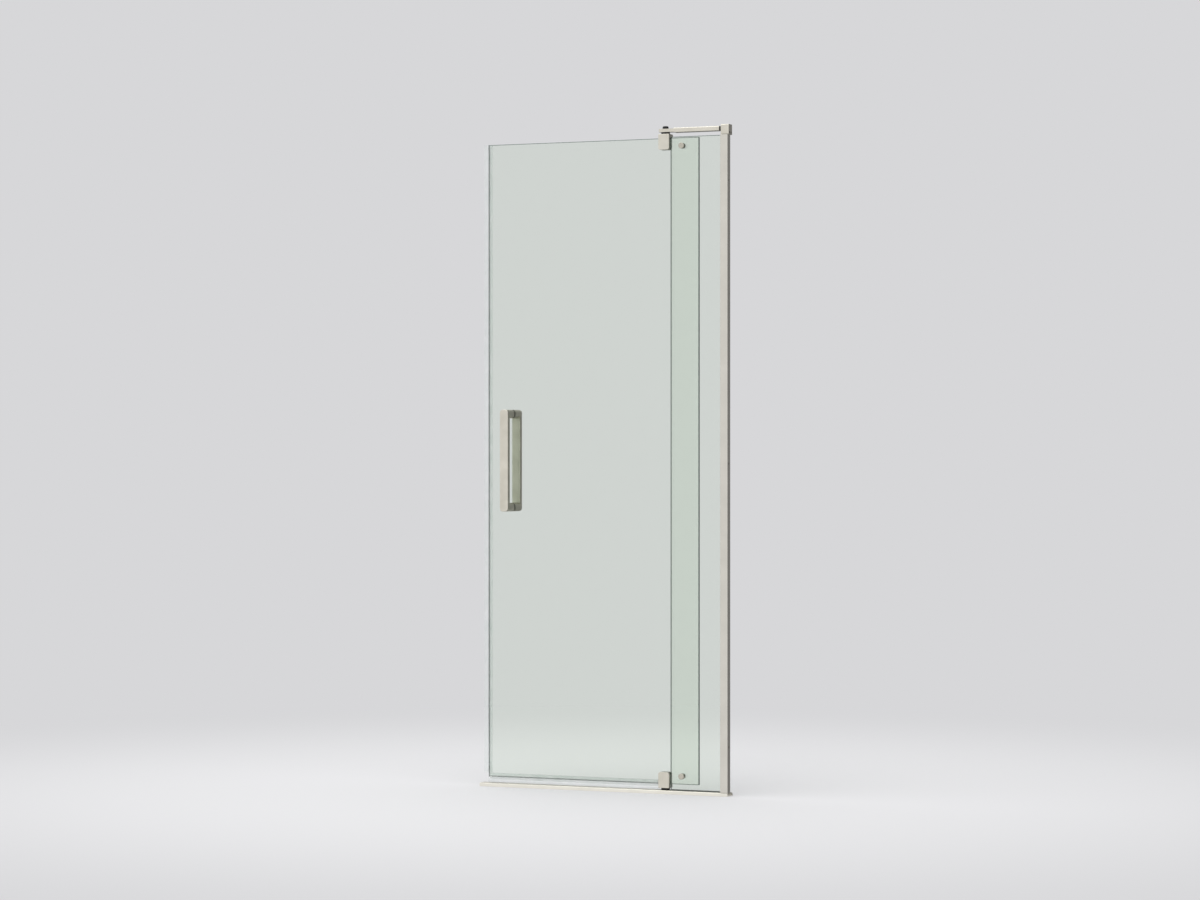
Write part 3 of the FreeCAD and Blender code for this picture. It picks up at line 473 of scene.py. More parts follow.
# Painted light: the sill is the jamb's anodised aluminium, given a paler tone as if lit on its
# top and front.
ANODISED_LEVEL_PAINTED_LIGHT = GrainedMetal(
    "Anodised aluminium, level, painted light", "#DEDBD0", 0.42, grain=Axis.X, line_mm=1.4, run_mm=400.0,
    depth_mm=0.006, second="#D8D5CA", spread=0.06,
)
# Stainless steel, machined: cooler and darker than the nickel.
STEEL_TURNED = TurnedMetal("Stainless steel, turned", "#A8A8A6", 0.28, second="#97979A")
STEEL_DRAWN = GrainedMetal(
    "Stainless steel, drawn", "#A6A6A4", 0.36, line_mm=0.5, run_mm=12.0, second="#98989A",
)
# Float glass, ground at its edges and tempered: clear faces, faintly green through the
# body, and dull edges with a painted dark shade.
GLASS = TemperedGlass("Tempered glass, 8 mm", "#FFFFFF", 0.0)
# Extruded soft PVC: clear, so that it shows by its bright and dark rims alone.
# Real die lines are some hundredths of a millimetre apart; these are 0.8 mm apart.
VINYL_UPRIGHT = ExtrudedVinyl("Clear vinyl, upright", "#FCFEFD", 0.06)
VINYL_LEVEL = ExtrudedVinyl("Clear vinyl, level", "#FCFEFD", 0.06, run=Axis.X)
# Glass-filled black nylon: nearly black with a low sheen.
NYLON = MouldedPlastic("Black nylon, moulded", "#0B0B0C", 0.46)
# EPDM rubber: black and fully dull.
RUBBER = MouldedPlastic(
    "Black rubber, moulded", "#121212", 0.82, second="#1C1B1A", depth_mm=0.03,
)
# Soft glazing vinyl: mid grey, dull, it shows only as thin dark lines.
GASKET = MouldedPlastic("Grey glazing vinyl", "#5E605D", 0.62, second="#565855")
# Milky vinyl of the pulls' washers: a pale line between each leg and the sheet.
WASHER = MouldedPlastic("Milky vinyl", "#A3A6A0", 0.5, second="#9B9E98", shine=0.5)


# ---------------------------------------------------------------- mesh makers


@dataclass(frozen=True)
class Ring:
    """One ring of a turned fitting: its place along the axis and its radius, in mm."""

    along: float
    radius: float
    outline: Outline = Outline.ROUND


@dataclass(frozen=True)
class TurnedFitting:
    """A fitting made of rings about one axis, such as a screw with its socket."""

    rings: tuple[Ring, ...]
    axis: Axis
    pitch: float = 0.8
    sides: int = 48

    def radius_at(self, ring: Ring, angle: float) -> float:
        """Return a ring's radius in one direction.

        Args:
            ring: the ring.
            angle: the direction about the axis, in radians.

        Returns:
            The radius, in mm.
        """
        if ring.outline is Outline.HEX:
            sector = math.radians(60)
            return ring.radius * math.cos(sector / 2) / math.cos(angle % sector - sector / 2)
        if ring.outline is Outline.THREAD:
            phase = (ring.along / self.pitch - angle / math.tau) % 1
            return ring.radius - THREAD_DEPTH * (1 - abs(2 * phase - 1))
        return ring.radius

    def mesh(self, name: str, at: tuple[float, float, float]) -> bpy.types.Mesh:
        """Build the fitting's closed mesh.

        Args:
            name: the mesh's name.
            at: where the axis starts from, in mm; rings count from there.

        Returns:
            The mesh, with each point's distance from the axis stored on it.
        """
        turn = {
            Axis.X: Matrix.Rotation(math.pi / 2, 4, "Y"),
            Axis.Y: Matrix.Rotation(-math.pi / 2, 4, "X"),
            Axis.Z: Matrix.Identity(4),
        }[self.axis]
        place = Matrix.Translation(Vector(at) * MM) @ turn
        build = bmesh.new()
        radius_layer = build.verts.layers.float.new(TURNED)
        loops: list[list[bmesh.types.BMVert]] = []
        for ring in self.rings:
            loop = []
            for side in range(self.sides):
                angle = math.tau * side / self.sides
                radius = self.radius_at(ring, angle)
                point = Vector((
                    radius * math.cos(angle), radius * math.sin(angle), ring.along,
                )) * MM
                vertex = build.verts.new(place @ point)
                vertex[radius_layer] = radius * MM
                loop.append(vertex)
            loops.append(loop)
        for lower, upper in zip(loops, loops[1:]):
            for side in range(self.sides):
                after = (side + 1) % self.sides
                build.faces.new((lower[side], lower[after], upper[after], upper[side]))
        build.faces.new(reversed(loops[0]))
        build.faces.new(loops[-1])
        made = bpy.data.meshes.new(name)
        build.to_mesh(made)
        build.free()
        return made


def threaded(start: float, end: float, radius: float, pitch: float = 0.8) -> list[Ring]:
    """List the rings of a threaded length.

    Args:
        start: where the thread starts along the axis, in mm.
        end: where it ends.
        radius: its outer radius.
        pitch: the length of one turn.

    Returns:
        The rings, in order.
    """
    count = max(2, round(RINGS_PER_TURN * (end - start) / pitch))
    step = (end - start) / count
    return [Ring(start + index * step, radius, Outline.THREAD) for index in range(count + 1)]


@dataclass(frozen=True)
class HexSocket:
    """A hexagon socket: its flats, a chamfered mouth and the drilling's point."""

    across_flats: float
    depth: float
    # Shares of the corner's radius or of the depth.
    mouth: float = 1.08
    chamfer: float = 0.1
    drilled: float = 1.12
    point: float = 0.25

    def rings(self, face: float, way: int = -1) -> list[Ring]:
        """List the socket's rings, from the mouth to the bottom.

        Args:
            face: where the mouth is along the axis, in mm.
            way: which way it goes in, 1 up the axis or -1 down it.

        Returns:
            The rings, in order.
        """
        corner = self.across_flats / math.sqrt(3)
        return [
            Ring(face, corner * self.mouth),
            Ring(face + way * self.chamfer * self.depth, corner, Outline.HEX),
            Ring(face + way * self.depth, corner, Outline.HEX),
            Ring(face + way * self.drilled * self.depth, corner * self.point),
        ]


@dataclass(frozen=True)
class Profile:
    """A closed section of an extrusion, with its corners eased, against the clock."""

    corners: tuple[tuple[float, float], ...]
    ease: float = 0.3
    # The most of an edge that one arc takes.
    most: float = 0.45
    steps: int = 3

    def points(self) -> list[tuple[float, float]]:
        """Turn each corner into a short arc.

        Returns:
            The section's points, in mm and in order.
        """
        rounded: list[tuple[float, float]] = []
        count = len(self.corners)
        for index, corner in enumerate(self.corners):
            here = Vector(corner)
            before = Vector(self.corners[index - 1]) - here
            after = Vector(self.corners[(index + 1) % count]) - here
            reach = min(self.ease, before.length * self.most, after.length * self.most)
            start = here + before.normalized() * reach
            end = here + after.normalized() * reach
            for step in range(self.steps + 1):
                share = step / self.steps
                point = start.lerp(here, share).lerp(here.lerp(end, share), share)
                rounded.append((point.x, point.y))
        return rounded


class Trees:
    """The geometry node trees that lay out extrusions and repeated fittings."""

    # Points this close are welded where an extrusion meets its first section.
    WELD_MM = 0.002

    @staticmethod
    def group(name: str, inputs: dict[str, str]) -> bpy.types.NodeTree:
        """Start a geometry node tree.

        Args:
            name: the tree's name.
            inputs: socket type by input name, besides the geometry.

        Returns:
            The tree, with a geometry input and output.
        """
        tree = bpy.data.node_groups.new(name, "GeometryNodeTree")
        tree.interface.new_socket("Geometry", in_out="OUTPUT", socket_type="NodeSocketGeometry")
        tree.interface.new_socket("Geometry", in_out="INPUT", socket_type="NodeSocketGeometry")
        for label, kind in inputs.items():
            tree.interface.new_socket(label, in_out="INPUT", socket_type=kind)
        return tree

    @staticmethod
    def close(
        tree: bpy.types.NodeTree, geometry: bpy.types.NodeSocket,
        material: bpy.types.NodeSocket,
    ) -> None:
        """End a tree: make the copies real and put the finish on.

        Args:
            tree: the tree.
            geometry: what it has made.
            material: the finish to set.
        """
        real = add_node(tree, "GeometryNodeRealizeInstances", inputs={"Geometry": geometry})
        dressed = add_node(
            tree,
            "GeometryNodeSetMaterial",
            inputs={"Geometry": real.outputs["Geometry"], "Material": material},
        )
        add_node(tree, "NodeGroupOutput", inputs={"Geometry": dressed.outputs["Geometry"]})

    @classmethod
    def copies(cls) -> bpy.types.NodeTree:
        """Make the tree that copies a fitting in rows and columns, or find it.

        Returns:
            The tree.
        """
        made = bpy.data.node_groups.get("Fittings in rows")
        if made is not None:
            return made
        tree = cls.group("Fittings in rows", {
            "Rows": "NodeSocketInt",
            "Row step": "NodeSocketVector",
            "Columns": "NodeSocketInt",
            "Column step": "NodeSocketVector",
            "Finish": "NodeSocketMaterial",
        })
        given = add_node(tree, "NodeGroupInput")
        geometry = given.outputs["Geometry"]
        for count, step in (("Columns", "Column step"), ("Rows", "Row step")):
            line = add_node(
                tree,
                "GeometryNodeMeshLine",
                {"mode": "OFFSET"},
                {"Count": given.outputs[count], "Offset": given.outputs[step]},
            )
            placed = add_node(
                tree,
                "GeometryNodeInstanceOnPoints",
                inputs={"Points": line.outputs["Mesh"], "Instance": geometry},
            )
            geometry = placed.outputs["Instances"]
        cls.close(tree, geometry, given.outputs["Finish"])
        return tree

    @classmethod
    def extrusion(cls) -> bpy.types.NodeTree:
        """Make the tree that draws a flat section out to a length, or find it.

        Returns:
            The tree.
        """
        made = bpy.data.node_groups.get("Extrusion")
        if made is not None:
            return made
        tree = cls.group("Extrusion", {
            "Run": "NodeSocketVector",
            "Finish": "NodeSocketMaterial",
        })
        given = add_node(tree, "NodeGroupInput")
        drawn = add_node(
            tree,
            "GeometryNodeExtrudeMesh",
            {"mode": "FACES"},
            {
                "Mesh": given.outputs["Geometry"],
                "Offset": given.outputs["Run"],
                "Offset Scale": 1.0,
                "Individual": False,
            },
        )
        start = add_node(
            tree, "GeometryNodeFlipFaces", inputs={"Mesh": given.outputs["Geometry"]}
        )
        both = add_node(tree, "GeometryNodeJoinGeometry")
        tree.links.new(drawn.outputs["Mesh"], both.inputs["Geometry"])
        tree.links.new(start.outputs["Mesh"], both.inputs["Geometry"])
        welded = add_node(
            tree,
            "GeometryNodeMergeByDistance",
            inputs={"Geometry": both.outputs["Geometry"], "Distance": cls.WELD_MM * MM},
        )
        cls.close(tree, welded.outputs["Geometry"], given.outputs["Finish"])
        return tree


@dataclass(frozen=True)
class Layout:
    """How a fitting's copies stand: rows up the door, and a short column in each."""

    rows: int = 1
    row_rise: float = 0.0
    columns: int = 1
    column_rise: float = 0.0

    def inputs(self) -> dict[str, object]:
        """Give the layout to the tree that lays the copies out.

        Returns:
            The tree's values, by the name of its input.
        """
        return {
            "Rows": self.rows,
            "Row step": (0.0, 0.0, self.row_rise * MM),
            "Columns": self.columns,
            "Column step": (0.0, 0.0, self.column_rise * MM),
        }


@dataclass(frozen=True)
class Piece:
    """A finished piece: what it is called, rides on, stands for and is made of."""

    name: str
    body: Body
    slot: Slot
    nodes: tuple[str, ...]
    finish: Finish
    smooth_deg: float = 32.0

    def grow(
        self, start: bpy.types.Mesh, tree: bpy.types.NodeTree, values: dict[str, object]
    ) -> None:
        """Run a mesh through a tree, keep the plain result and hand it over.

        Args:
            start: the mesh that the tree starts from.
            tree: the geometry node tree.
            values: its inputs, by name.
        """
        seed = bpy.data.objects.new(f"{self.name}_seed", start)
        bpy.context.scene.collection.objects.link(seed)
        modifier = seed.modifiers.new("layout", "NODES")
        modifier.node_group = tree
        sockets = {
            item.name: item.identifier
            for item in tree.interface.items_tree
            if item.in_out == "INPUT"
        }
        for label, value in {**values, "Finish": self.finish.material()}.items():
            modifier[sockets[label]] = value
        graph = bpy.context.evaluated_depsgraph_get()
        mesh = bpy.data.meshes.new_from_object(seed.evaluated_get(graph))
        seed.modifiers.remove(modifier)
        bpy.data.objects.remove(seed)
        mesh.name = self.name
        mesh.shade_smooth()
        mesh.set_sharp_from_angle(angle=math.radians(self.smooth_deg))
        made = bpy.data.objects.new(self.name, mesh)
        bpy.context.scene.collection.objects.link(made)
        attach(made, self.body.value)
        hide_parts(*self.nodes)
        log.info("%s: %d faces, stands for %s", self.name, len(mesh.polygons), self.nodes)

    def fit(
        self, fitting: TurnedFitting, at: tuple[float, float, float], layout: Layout
    ) -> None:
        """Make a turned fitting and copy it over its places.

        Args:
            fitting: the fitting.
            at: where the first copy's axis starts from, in mm.
            layout: how the copies stand.
        """
        self.grow(fitting.mesh(self.name, at), Trees.copies(), layout.inputs())


class SubAssembly:
    """What every sub-assembly does: build its own pieces, then dress its solids."""

    def finishes(self) -> dict[str, Finish]:
        """Return the finish of each solid that shows as packed, by its name."""
        raise NotImplementedError

    def build(self) -> None:
        """Build the pieces that this sub-assembly adds; most add none."""

    def dress(self) -> None:
        """Put the finishes on the solids' own slots."""
        for name, finish in self.finishes().items():
            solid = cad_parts[name]
            if not solid.material_slots:
                solid.data.materials.append(finish.material())
            for held in solid.material_slots:
                held.material = finish.material()
            log.info("%s: %s", name, finish.name)


# -------------------------------------------------------------- sub-assemblies


@dataclass
class Threshold(SubAssembly):
    """The sill extrusion and the slide nut in its track."""

    def finishes(self) -> dict[str, Finish]:
        """Return the finishes of the sill and its nut."""
        return {"threshold": ANODISED_LEVEL_PAINTED_LIGHT, "threshold_nut": STEEL_DRAWN}


@dataclass
class FixedPanel(SubAssembly):
    """The fixed sheet with its jamb, gasket and shoe."""

    def finishes(self) -> dict[str, Finish]:
        """List the finishes of the sheet and what holds it.

        Returns:
            Each finish, by the name of its solid.
        """
        return {
            "fixed_panel": GLASS,
            "wall_jamb": ANODISED_UPRIGHT,
            "jamb_gasket": GASKET,
            "panel_shoe": GASKET,
        }


@dataclass
class SupportArm(SubAssembly):
    """The bar, its spacer and the wall bracket, with the stud that joins them."""

    axis_z: float = 1766.05
    stud_start: float = 314.25
    stud_end: float = 352.75
    stud_radius: float = 3.0
    stud_pitch: float = 1.0
    stud_chamfer: float = 0.5
    screw_x: float = 345.75
    screw_top: float = 1776.2
    screw_length: float = 7.15
    screw_radius: float = 2.5
    point_length: float = 0.8
    point_radius: float = 1.375
    rim: float = 0.1
    rim_inset: float = 0.5
    thread_from: float = 0.4
    key: HexSocket = HexSocket(2.5, 2.4)

    def finishes(self) -> dict[str, Finish]:
        """List the finishes of the bar, spacer and bracket.

        Returns:
            Each finish, by the name of its solid.
        """
        return {
            "support_bar": NICKEL_LEVEL,
            "bar_spacer": NYLON,
            "wall_bracket": NICKEL_UPRIGHT,
        }

    def build(self) -> None:
        """Build the threaded stud and the set screw with its socket."""
        length = self.stud_end - self.stud_start
        chamfer = self.stud_chamfer
        stud = TurnedFitting(
            (
                Ring(0, self.stud_radius - chamfer),
                *threaded(chamfer, length - chamfer, self.stud_radius, self.stud_pitch),
                Ring(length, self.stud_radius - chamfer),
            ),
            Axis.X, pitch=self.stud_pitch,
        )
        Piece("arm_stud", Body.FRAME, Slot.STEEL, ("bar_stud",), STEEL_TURNED).fit(
            stud, (self.stud_start, 0, self.axis_z), Layout()
        )
        radius, point = self.screw_radius, -self.screw_length + self.point_length
        screw = TurnedFitting(
            (
                Ring(-self.screw_length, self.point_radius),
                *threaded(point, -self.thread_from, radius),
                Ring(-self.rim, radius - THREAD_DEPTH),
                Ring(0, radius - self.rim_inset),
                *self.key.rings(0),
            ),
            Axis.Z,
        )
        Piece(
            "bracket_socket_screw", Body.FRAME, Slot.STEEL, ("bracket_set_screw",), STEEL_TURNED
        ).fit(screw, (self.screw_x, 0, self.screw_top), Layout())


@dataclass
class Pivots(SubAssembly):
    """The top and bottom pins with their washers, the cap and the bushes."""

    def finishes(self) -> dict[str, Finish]:
        """List the finishes of the pins and what turns on them.

        Returns:
            Each finish, by the name of its solid.
        """
        return {
            "top_pivot_pin": STEEL_DRAWN,
            "bottom_pivot_pin": STEEL_DRAWN,
            "pivot_cap": NYLON,
            "top_washer": NYLON,
            "bottom_washer": NYLON,
            "pivot_bushes": NYLON,
        }


@dataclass
class StopButtons(SubAssembly):
    """The two buttons through the fixed sheet that stop the tail."""

    x: float = 229.75
    first_z: float = 48.4
    pitch: float = 1675.0
    sheet_front: float = -15.0
    cap_radius: float = 8.0
    cap_depth: float = 7.0
    cap_edge: float = 1.0
    cap_back_edge: float = 0.2
    dish: float = 0.35
    dish_share: float = 0.8
    bore: float = 2.1
    bore_depth: float = 4.8
    screw_tip: float = -19.8
    tip_length: float = 0.4
    tip_radius: float = 1.5
    screw_pitch: float = 0.7
    head_seat: float = -5.8
    head_back: float = -4.6
    neck: float = 4.0
    shank_radius: float = 2.0
    head_radius: float = 3.5
    # Each ring of the head's dome: its place from the back, and in from the radius.
    dome: tuple[tuple[float, float], ...] = (
        (-0.5, 0.05), (-0.2, 0.3), (-0.04, 0.8), (0.0, 1.3),
    )
    key: HexSocket = HexSocket(2.5, 0.9)

    def finishes(self) -> dict[str, Finish]:
        """Return the finishes of the sleeves and bumpers."""
        return {"stop_sleeves": NYLON, "stop_bumpers": RUBBER}

    def cap_rings(self) -> tuple[Ring, ...]:
        """List a cap's rings from its dished front, round its edge, into its bore.

        Returns:
            The rings, in order.
        """
        front = -self.cap_depth
        arc = [
            Ring(
                front + self.cap_edge * (1 - math.sin(math.radians(degrees))),
                self.cap_radius - self.cap_edge * (1 - math.cos(math.radians(degrees))),
            )
            for degrees in (90, 75, 60, 45, 30, 15, 0)
        ]
        dished = [
            Ring(
                front + self.dish * (1 - (share / self.dish_share) ** 2),
                self.cap_radius * share,
            )
            for share in (0.02, 0.2, 0.4, 0.6, 0.75)
        ]
        wall = [
            Ring(-self.cap_back_edge, self.cap_radius),
            Ring(0, self.cap_radius - self.cap_back_edge),
        ]
        well = [
            Ring(0, self.bore),
            Ring(-self.bore_depth, self.bore),
            Ring(-self.bore_depth - 0.1, self.bore * 0.3),
        ]
        return (*dished, *arc, *wall, *well)

    def build(self) -> None:
        """Build the dished caps and the screws with their sockets."""
        pair = Layout(2, self.pitch)
        cap = TurnedFitting(self.cap_rings(), Axis.Y, sides=64)
        Piece("stop_button_caps", Body.FRAME, Slot.NICKEL, ("stop_caps",), NICKEL_TURNED).fit(
            cap, (self.x, self.sheet_front, self.first_z), pair
        )
        shank, seat, neck = self.shank_radius, self.head_seat, self.head_seat - self.neck
        screw = TurnedFitting(
            (
                Ring(self.screw_tip, self.tip_radius),
                *threaded(self.screw_tip + self.tip_length, neck, shank, self.screw_pitch),
                Ring(neck + 0.1, shank),
                Ring(seat, shank),
                Ring(seat, self.head_radius - 0.1),
                Ring(seat + 0.1, self.head_radius),
                *(Ring(self.head_back + y, self.head_radius - inset) for y, inset in self.dome),
                *self.key.rings(self.head_back),
            ),
            Axis.Y, pitch=self.screw_pitch,
        )
        Piece("stop_socket_screws", Body.FRAME, Slot.STEEL, ("stop_screws",), STEEL_TURNED).fit(
            screw, (self.x, 0, self.first_z), pair
        )


@dataclass
class HingeBlocks(SubAssembly):
    """The two clamped blocks, with their pads and countersunk screws."""

    pivot_x: float = 176.75
    first_z: float = 30.9
    pitch: float = 11.0
    block_pitch: float = 1699.0
    tip: float = -9.4
    tip_length: float = 0.5
    tip_radius: float = 2.0
    thread_end: float = 0.0
    head_back: float = 14.4
    shank_radius: float = 2.5
    head_radius: float = 4.5
    # Each ring of the head's rim, given as for the dome of the stop screws.
    rim: tuple[tuple[float, float], ...] = ((-0.25, 0.25), (-0.08, 0.18), (0.0, 0.3))
    key: HexSocket = HexSocket(3.0, 2.2)

    def finishes(self) -> dict[str, Finish]:
        """List the finishes of the shells and pads.

        Returns:
            Each finish, by the name of its solid.
        """
        shells = {
            f"{level}_hinge_{side}": NICKEL_UPRIGHT
            for level in ("upper", "lower")
            for side in ("front", "back")
        }
        return {**shells, "hinge_gaskets": GASKET}

    def build(self) -> None:
        """Build the countersunk screws, two in a column at each block."""
        cone = self.head_radius - self.shank_radius
        screw = TurnedFitting(
            (
                Ring(self.tip, self.tip_radius),
                *threaded(self.tip + self.tip_length, self.thread_end, self.shank_radius),
                Ring(self.thread_end + 0.2, self.shank_radius),
                Ring(self.head_back - cone, self.shank_radius),
                *(Ring(self.head_back + y, self.head_radius - inset) for y, inset in self.rim),
                *self.key.rings(self.head_back),
            ),
            Axis.Y,
        )
        Piece("clamp_screws", Body.DOOR, Slot.STEEL, ("hinge_screws",), STEEL_TURNED).fit(
            screw,
            (self.pivot_x, 0, self.first_z),
            Layout(2, self.block_pitch, 2, self.pitch),
        )


@dataclass
class DoorGlass(SubAssembly):
    """The turning sheet, leaf and tail in one."""

    def finishes(self) -> dict[str, Finish]:
        """Return the finish of the sheet."""
        return {"door_glass": GLASS}


@dataclass
class PullHandle(SubAssembly):
    """The pair of pulls, with what joins them through the sheet."""

    x: float = -276.75
    screw_y: float = 12.0
    first_z: float = 748.6
    stud_pitch: float = 253.0
    screw_length: float = 7.3
    screw_radius: float = 2.5
    point_length: float = 0.6
    point_radius: float = 1.5
    rim: float = 0.1
    rim_inset: float = 0.5
    thread_from: float = 0.4
    key: HexSocket = HexSocket(2.5, 2.8)

    def finishes(self) -> dict[str, Finish]:
        """List the finishes of the pulls and their fixings.

        Returns:
            Each finish, by the name of its solid.
        """
        return {
            "handle_front": NICKEL_PULL,
            "handle_rear": NICKEL_PULL,
            "handle_studs": STEEL_DRAWN,
            "handle_sleeves": VINYL_UPRIGHT,
            "handle_washers": WASHER,
        }

    def build(self) -> None:
        """Build the set screws, sockets down, one under each leg of the rear pull."""
        radius, point = self.screw_radius, self.screw_length - self.point_length
        screw = TurnedFitting(
            (
                *reversed(self.key.rings(0, way=1)),
                Ring(0, radius - self.rim_inset),
                Ring(self.rim, radius - THREAD_DEPTH),
                *threaded(self.thread_from, point, radius),
                Ring(self.screw_length, self.point_radius),
            ),
            Axis.Z,
        )
        Piece(
            "pull_set_screws", Body.DOOR, Slot.STEEL, ("handle_set_screws",), STEEL_TURNED
        ).fit(screw, (self.x, self.screw_y, self.first_z), Layout(2, self.stud_pitch))


@dataclass
class Seals(SubAssembly):
    """The clear edge seal and the bottom sweep, clear of the glass they clip on."""

    strike_x: float = -342.25
    glass_bottom: float = 25.9
    glass_top: float = 1745.9
    glass_half: float = 4.0
    clearance: float = 0.12
    wall: float = 1.0
    seal_leg: float = 9.0
    seal_reach: float = 15.5
    seal_tip: float = 0.8
    seal_start: float = 35.9
    sweep_leg: float = 9.5
    sweep_drop: float = 14.9
    sweep_end: float = 160.75
    rail_reach: float = 5.0
    rail_drop: float = 7.0
    smooth_deg: float = 50.0

    def finishes(self) -> dict[str, Finish]:
        """Return nothing, because both seals are built here."""
        return {}

    def drawn(self, piece: Piece, section: list[Vector], run: Vector) -> None:
        """Draw a flat section out to a seal.

        Args:
            piece: the piece it becomes.
            section: its corners in metres, against the clock seen from its run.
            run: the vector from one end to the other, in metres.
        """
        flat = bpy.data.meshes.new(piece.name)
        flat.from_pydata(section, [], [range(len(section))])
        piece.grow(flat, Trees.extrusion(), {"Run": run})

    def build(self) -> None:
        """Build the seal up the strike edge and the sweep along the bottom."""
        inner = self.glass_half + self.clearance
        outer = self.glass_half + self.wall
        web = -self.wall
        seal = Profile((
            (-self.clearance, inner),
            (self.seal_leg, inner),
            (self.seal_leg, outer),
            (web, outer),
            (web, self.wall / 2),
            (-self.seal_reach, self.seal_tip / 2),
            (-self.seal_reach, -self.seal_tip / 2),
            (web, -self.wall / 2),
            (web, -outer),
            (self.seal_leg, -outer),
            (self.seal_leg, -inner),
            (-self.clearance, -inner),
        ))
        section = [
            Vector((self.strike_x + x, y, self.seal_start)) * MM for x, y in seal.points()
        ]
        self.drawn(
            Piece(
                "strike_seal", Body.DOOR, Slot.VINYL, ("edge_seal",), VINYL_UPRIGHT,
                self.smooth_deg,
            ),
            section,
            Vector((0, 0, self.glass_top - self.seal_start)) * MM,
        )
        rail = outer + self.rail_reach
        sweep = Profile((
            (-outer, -self.sweep_drop),
            (-self.glass_half, -self.sweep_drop),
            (-self.glass_half, -self.wall),
            (self.glass_half - self.wall, -self.wall),
            (rail - self.wall, -self.rail_drop - self.wall / 2),
            (rail, -self.rail_drop),
            (outer, -self.wall / 2),
            (outer, self.sweep_leg),
            (inner, self.sweep_leg),
            (inner, -self.clearance),
            (-inner, -self.clearance),
            (-inner, self.sweep_leg),
            (-outer, self.sweep_leg),
        ))
        section = [
            Vector((self.strike_x, y, self.glass_bottom + z)) * MM for y, z in sweep.points()
        ]
        self.drawn(
            Piece(
                "door_sweep", Body.DOOR, Slot.VINYL, ("bottom_sweep",), VINYL_LEVEL,
                self.smooth_deg,
            ),
            section,
            Vector((self.sweep_end - self.strike_x, 0, 0)) * MM,
        )


# ----------------------------------------------------------------------- studio


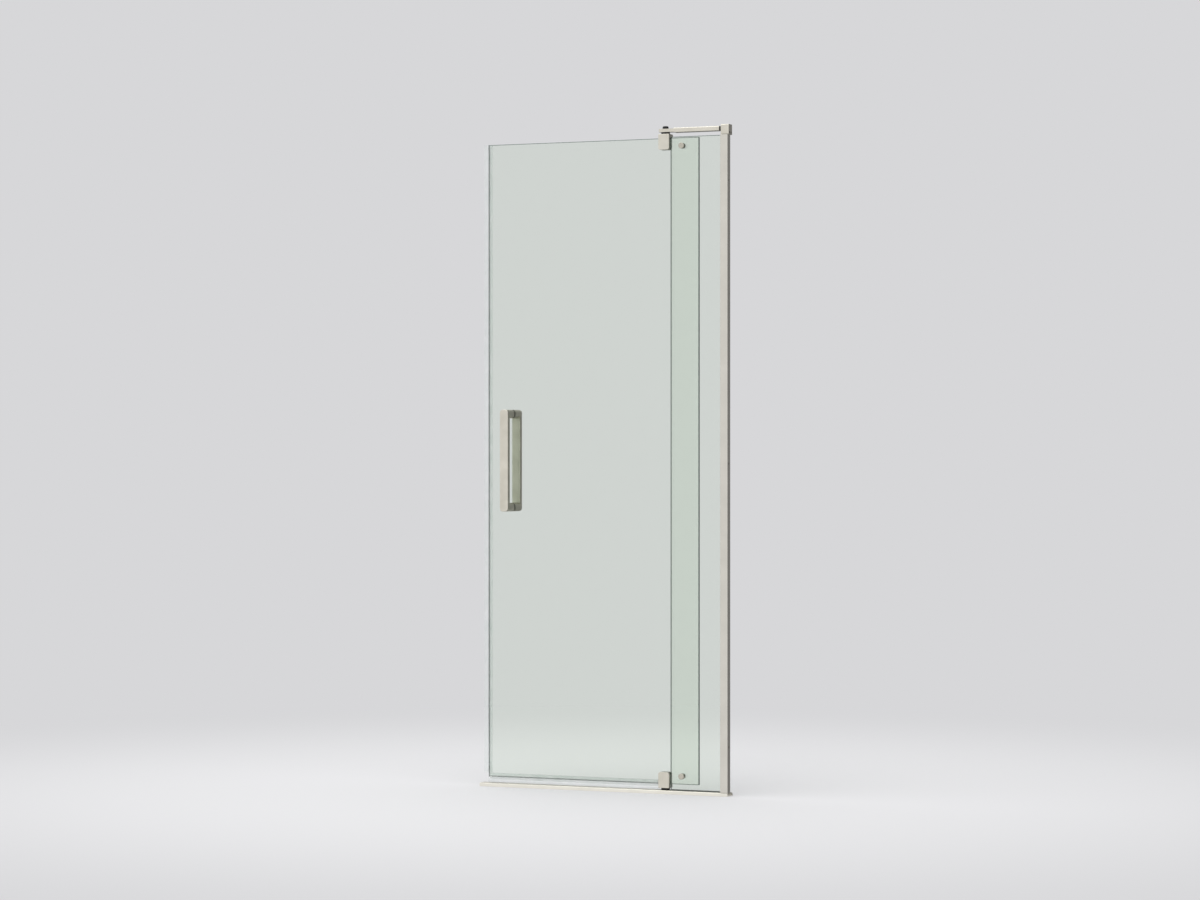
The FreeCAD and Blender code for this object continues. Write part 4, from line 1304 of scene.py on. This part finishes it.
@dataclass
class Studio:
    """A pale floor, soft studio light and the camera."""

    camera_at: tuple[float, float, float] = (3.5947, -8.3427, 0.9151)
    camera_yaw: float = 23.39
    lens: float = 101.44
    sensor: float = 36.0
    backdrop: str = "#D7D7D9"
    room: str = "#FDFDFF"
    front_light: float = 1.14
    back_light: float = 0.27
    # Along this way into the alcove the room's light falls off, between two values.
    inward: tuple[float, float, float] = (0.45, 0.89, -0.6)
    front_until: float = -0.3
    back_from: float = 0.85
    box_at: tuple[float, float, float] = (-0.6, -1.2, 5.0)
    box_aim: tuple[float, float, float] = (0.0, 0.0, 0.8)
    box_size: tuple[float, float] = (4.0, 3.0)
    box_watts: float = 75.0
    floor: str = "#E6E6E6"
    floor_radius: float = 60.0
    floor_z: float = -0.0004
    # The paint gives way to the backdrop's glow between these distances.
    painted_to: float = 0.6
    plain_from: float = 3.0
    least_glow: float = 0.45

    def surround(
        self, tree: bpy.types.NodeTree, kind: str, way: bpy.types.NodeSocket
    ) -> bpy.types.NodeSocket:
        """Shade the surroundings: plain where they are seen, graded where they light.

        What the camera sees past the door is one plain tone. Everything else takes
        its light from a soft gradient, so that faces turned into the alcove are darker.

        Args:
            tree: the world's or the floor's node tree.
            kind: the type of node that gives the light off.
            way: the direction from the door.

        Returns:
            The shader's output.
        """
        inward = add_node(
            tree,
            "ShaderNodeVectorMath",
            {"operation": "DOT_PRODUCT"},
            {0: way, 1: self.inward},
        )
        soft = add_node(
            tree,
            "ShaderNodeMapRange",
            {"interpolation_type": "SMOOTHSTEP"},
            {
                "Value": inward.outputs["Value"],
                "From Min": self.front_until,
                "From Max": self.back_from,
                "To Min": self.front_light,
                "To Max": self.back_light,
            },
        )
        room = add_node(
            tree, kind, inputs={"Color": linear(self.room), "Strength": soft.outputs["Result"]}
        )
        plain = add_node(tree, kind, inputs={"Color": linear(self.backdrop), "Strength": 1.0})
        rays = add_node(tree, "ShaderNodeLightPath")
        open_view = add_node(
            tree,
            "ShaderNodeMath",
            {"operation": "MAXIMUM"},
            {0: rays.outputs["Is Camera Ray"], 1: rays.outputs["Is Transmission Ray"]},
        )
        seen = add_node(
            tree,
            "ShaderNodeMath",
            {"operation": "SUBTRACT", "use_clamp": True},
            {0: open_view.outputs["Value"], 1: rays.outputs["Glossy Depth"]},
        )
        both = add_node(
            tree,
            "ShaderNodeMixShader",
            inputs={0: seen.outputs["Value"], 1: room.outputs[0], 2: plain.outputs[0]},
        )
        return both.outputs[0]

    def light(self) -> None:
        """Light the door evenly from the surroundings, with one softbox overhead."""
        world = bpy.data.worlds.new("Studio")
        bpy.context.scene.world = world
        world.use_nodes = True
        tree = world.node_tree
        tree.nodes.clear()
        way = add_node(tree, "ShaderNodeTexCoord").outputs["Generated"]
        shade = self.surround(tree, "ShaderNodeBackground", way)
        add_node(tree, "ShaderNodeOutputWorld", inputs={"Surface": shade})
        lamp = bpy.data.lights.new("Softbox", "AREA")
        lamp.shape = "RECTANGLE"
        lamp.size, lamp.size_y = self.box_size
        lamp.energy = self.box_watts
        box = bpy.data.objects.new("Softbox", lamp)
        box.location = self.box_at
        aim = Vector(self.box_aim) - box.location
        box.rotation_euler = aim.to_track_quat("-Z", "Y").to_euler()
        bpy.context.scene.collection.objects.link(box)

    def lay_floor(self) -> None:
        """Lay a round floor that fades into the backdrop's tone far from the door."""
        build = bmesh.new()
        bmesh.ops.create_circle(
            build, cap_ends=True, segments=96, radius=self.floor_radius
        )
        mesh = bpy.data.meshes.new("studio_floor")
        build.to_mesh(mesh)
        build.free()
        mesh.transform(Matrix.Translation((0, 0, self.floor_z)))
        paint = bpy.data.materials.new("Studio floor, matt paint")
        paint.use_nodes = True
        tree = paint.node_tree
        shader = tree.nodes["Principled BSDF"]
        shader.inputs["Base Color"].default_value = linear(self.floor)
        shader.inputs["Roughness"].default_value = 0.8
        shader.inputs["Specular IOR Level"].default_value = 0.2
        place = add_node(tree, "ShaderNodeTexCoord").outputs["Object"]
        far = add_node(tree, "ShaderNodeVectorMath", {"operation": "LENGTH"}, {0: place})
        share = add_node(
            tree,
            "ShaderNodeMapRange",
            {"interpolation_type": "SMOOTHSTEP"},
            {
                "Value": far.outputs["Value"],
                "From Min": self.painted_to,
                "From Max": self.plain_from,
                "To Min": self.least_glow,
            },
        )
        way = add_node(tree, "ShaderNodeVectorMath", {"operation": "NORMALIZE"}, {0: place})
        glow = self.surround(tree, "ShaderNodeEmission", way.outputs["Vector"])
        both = add_node(
            tree,
            "ShaderNodeMixShader",
            inputs={0: share.outputs["Result"], 1: shader.outputs[0], 2: glow},
        )
        tree.links.new(both.outputs[0], tree.nodes["Material Output"].inputs["Surface"])
        mesh.materials.append(paint)
        floor = bpy.data.objects.new("studio_floor", mesh)
        floor.visible_glossy = False
        bpy.context.scene.collection.objects.link(floor)

    def set_camera(self) -> None:
        """Put the camera where the photo was taken from, level, with its lens."""
        data = bpy.data.cameras.new("Camera")
        data.lens = self.lens
        data.sensor_width = self.sensor
        data.clip_end = 200.0
        camera = bpy.data.objects.new("Camera", data)
        camera.location = self.camera_at
        camera.rotation_euler = (math.pi / 2, 0, math.radians(self.camera_yaw))
        bpy.context.scene.collection.objects.link(camera)
        bpy.context.scene.camera = camera


def main() -> None:
    """Build and dress each sub-assembly in turn, then set the studio."""
    logging.basicConfig(level=logging.INFO, format="%(message)s")
    bpy.context.scene.view_settings.view_transform = "Standard"
    for part in (
        Threshold(),
        FixedPanel(),
        SupportArm(),
        Pivots(),
        StopButtons(),
        HingeBlocks(),
        DoorGlass(),
        PullHandle(),
        Seals(),
    ):
        log.info("%s", type(part).__name__)
        part.build()
        part.dress()
    studio = Studio()
    studio.light()
    studio.lay_floor()
    studio.set_camera()


if __name__ == "__main__":
    main()
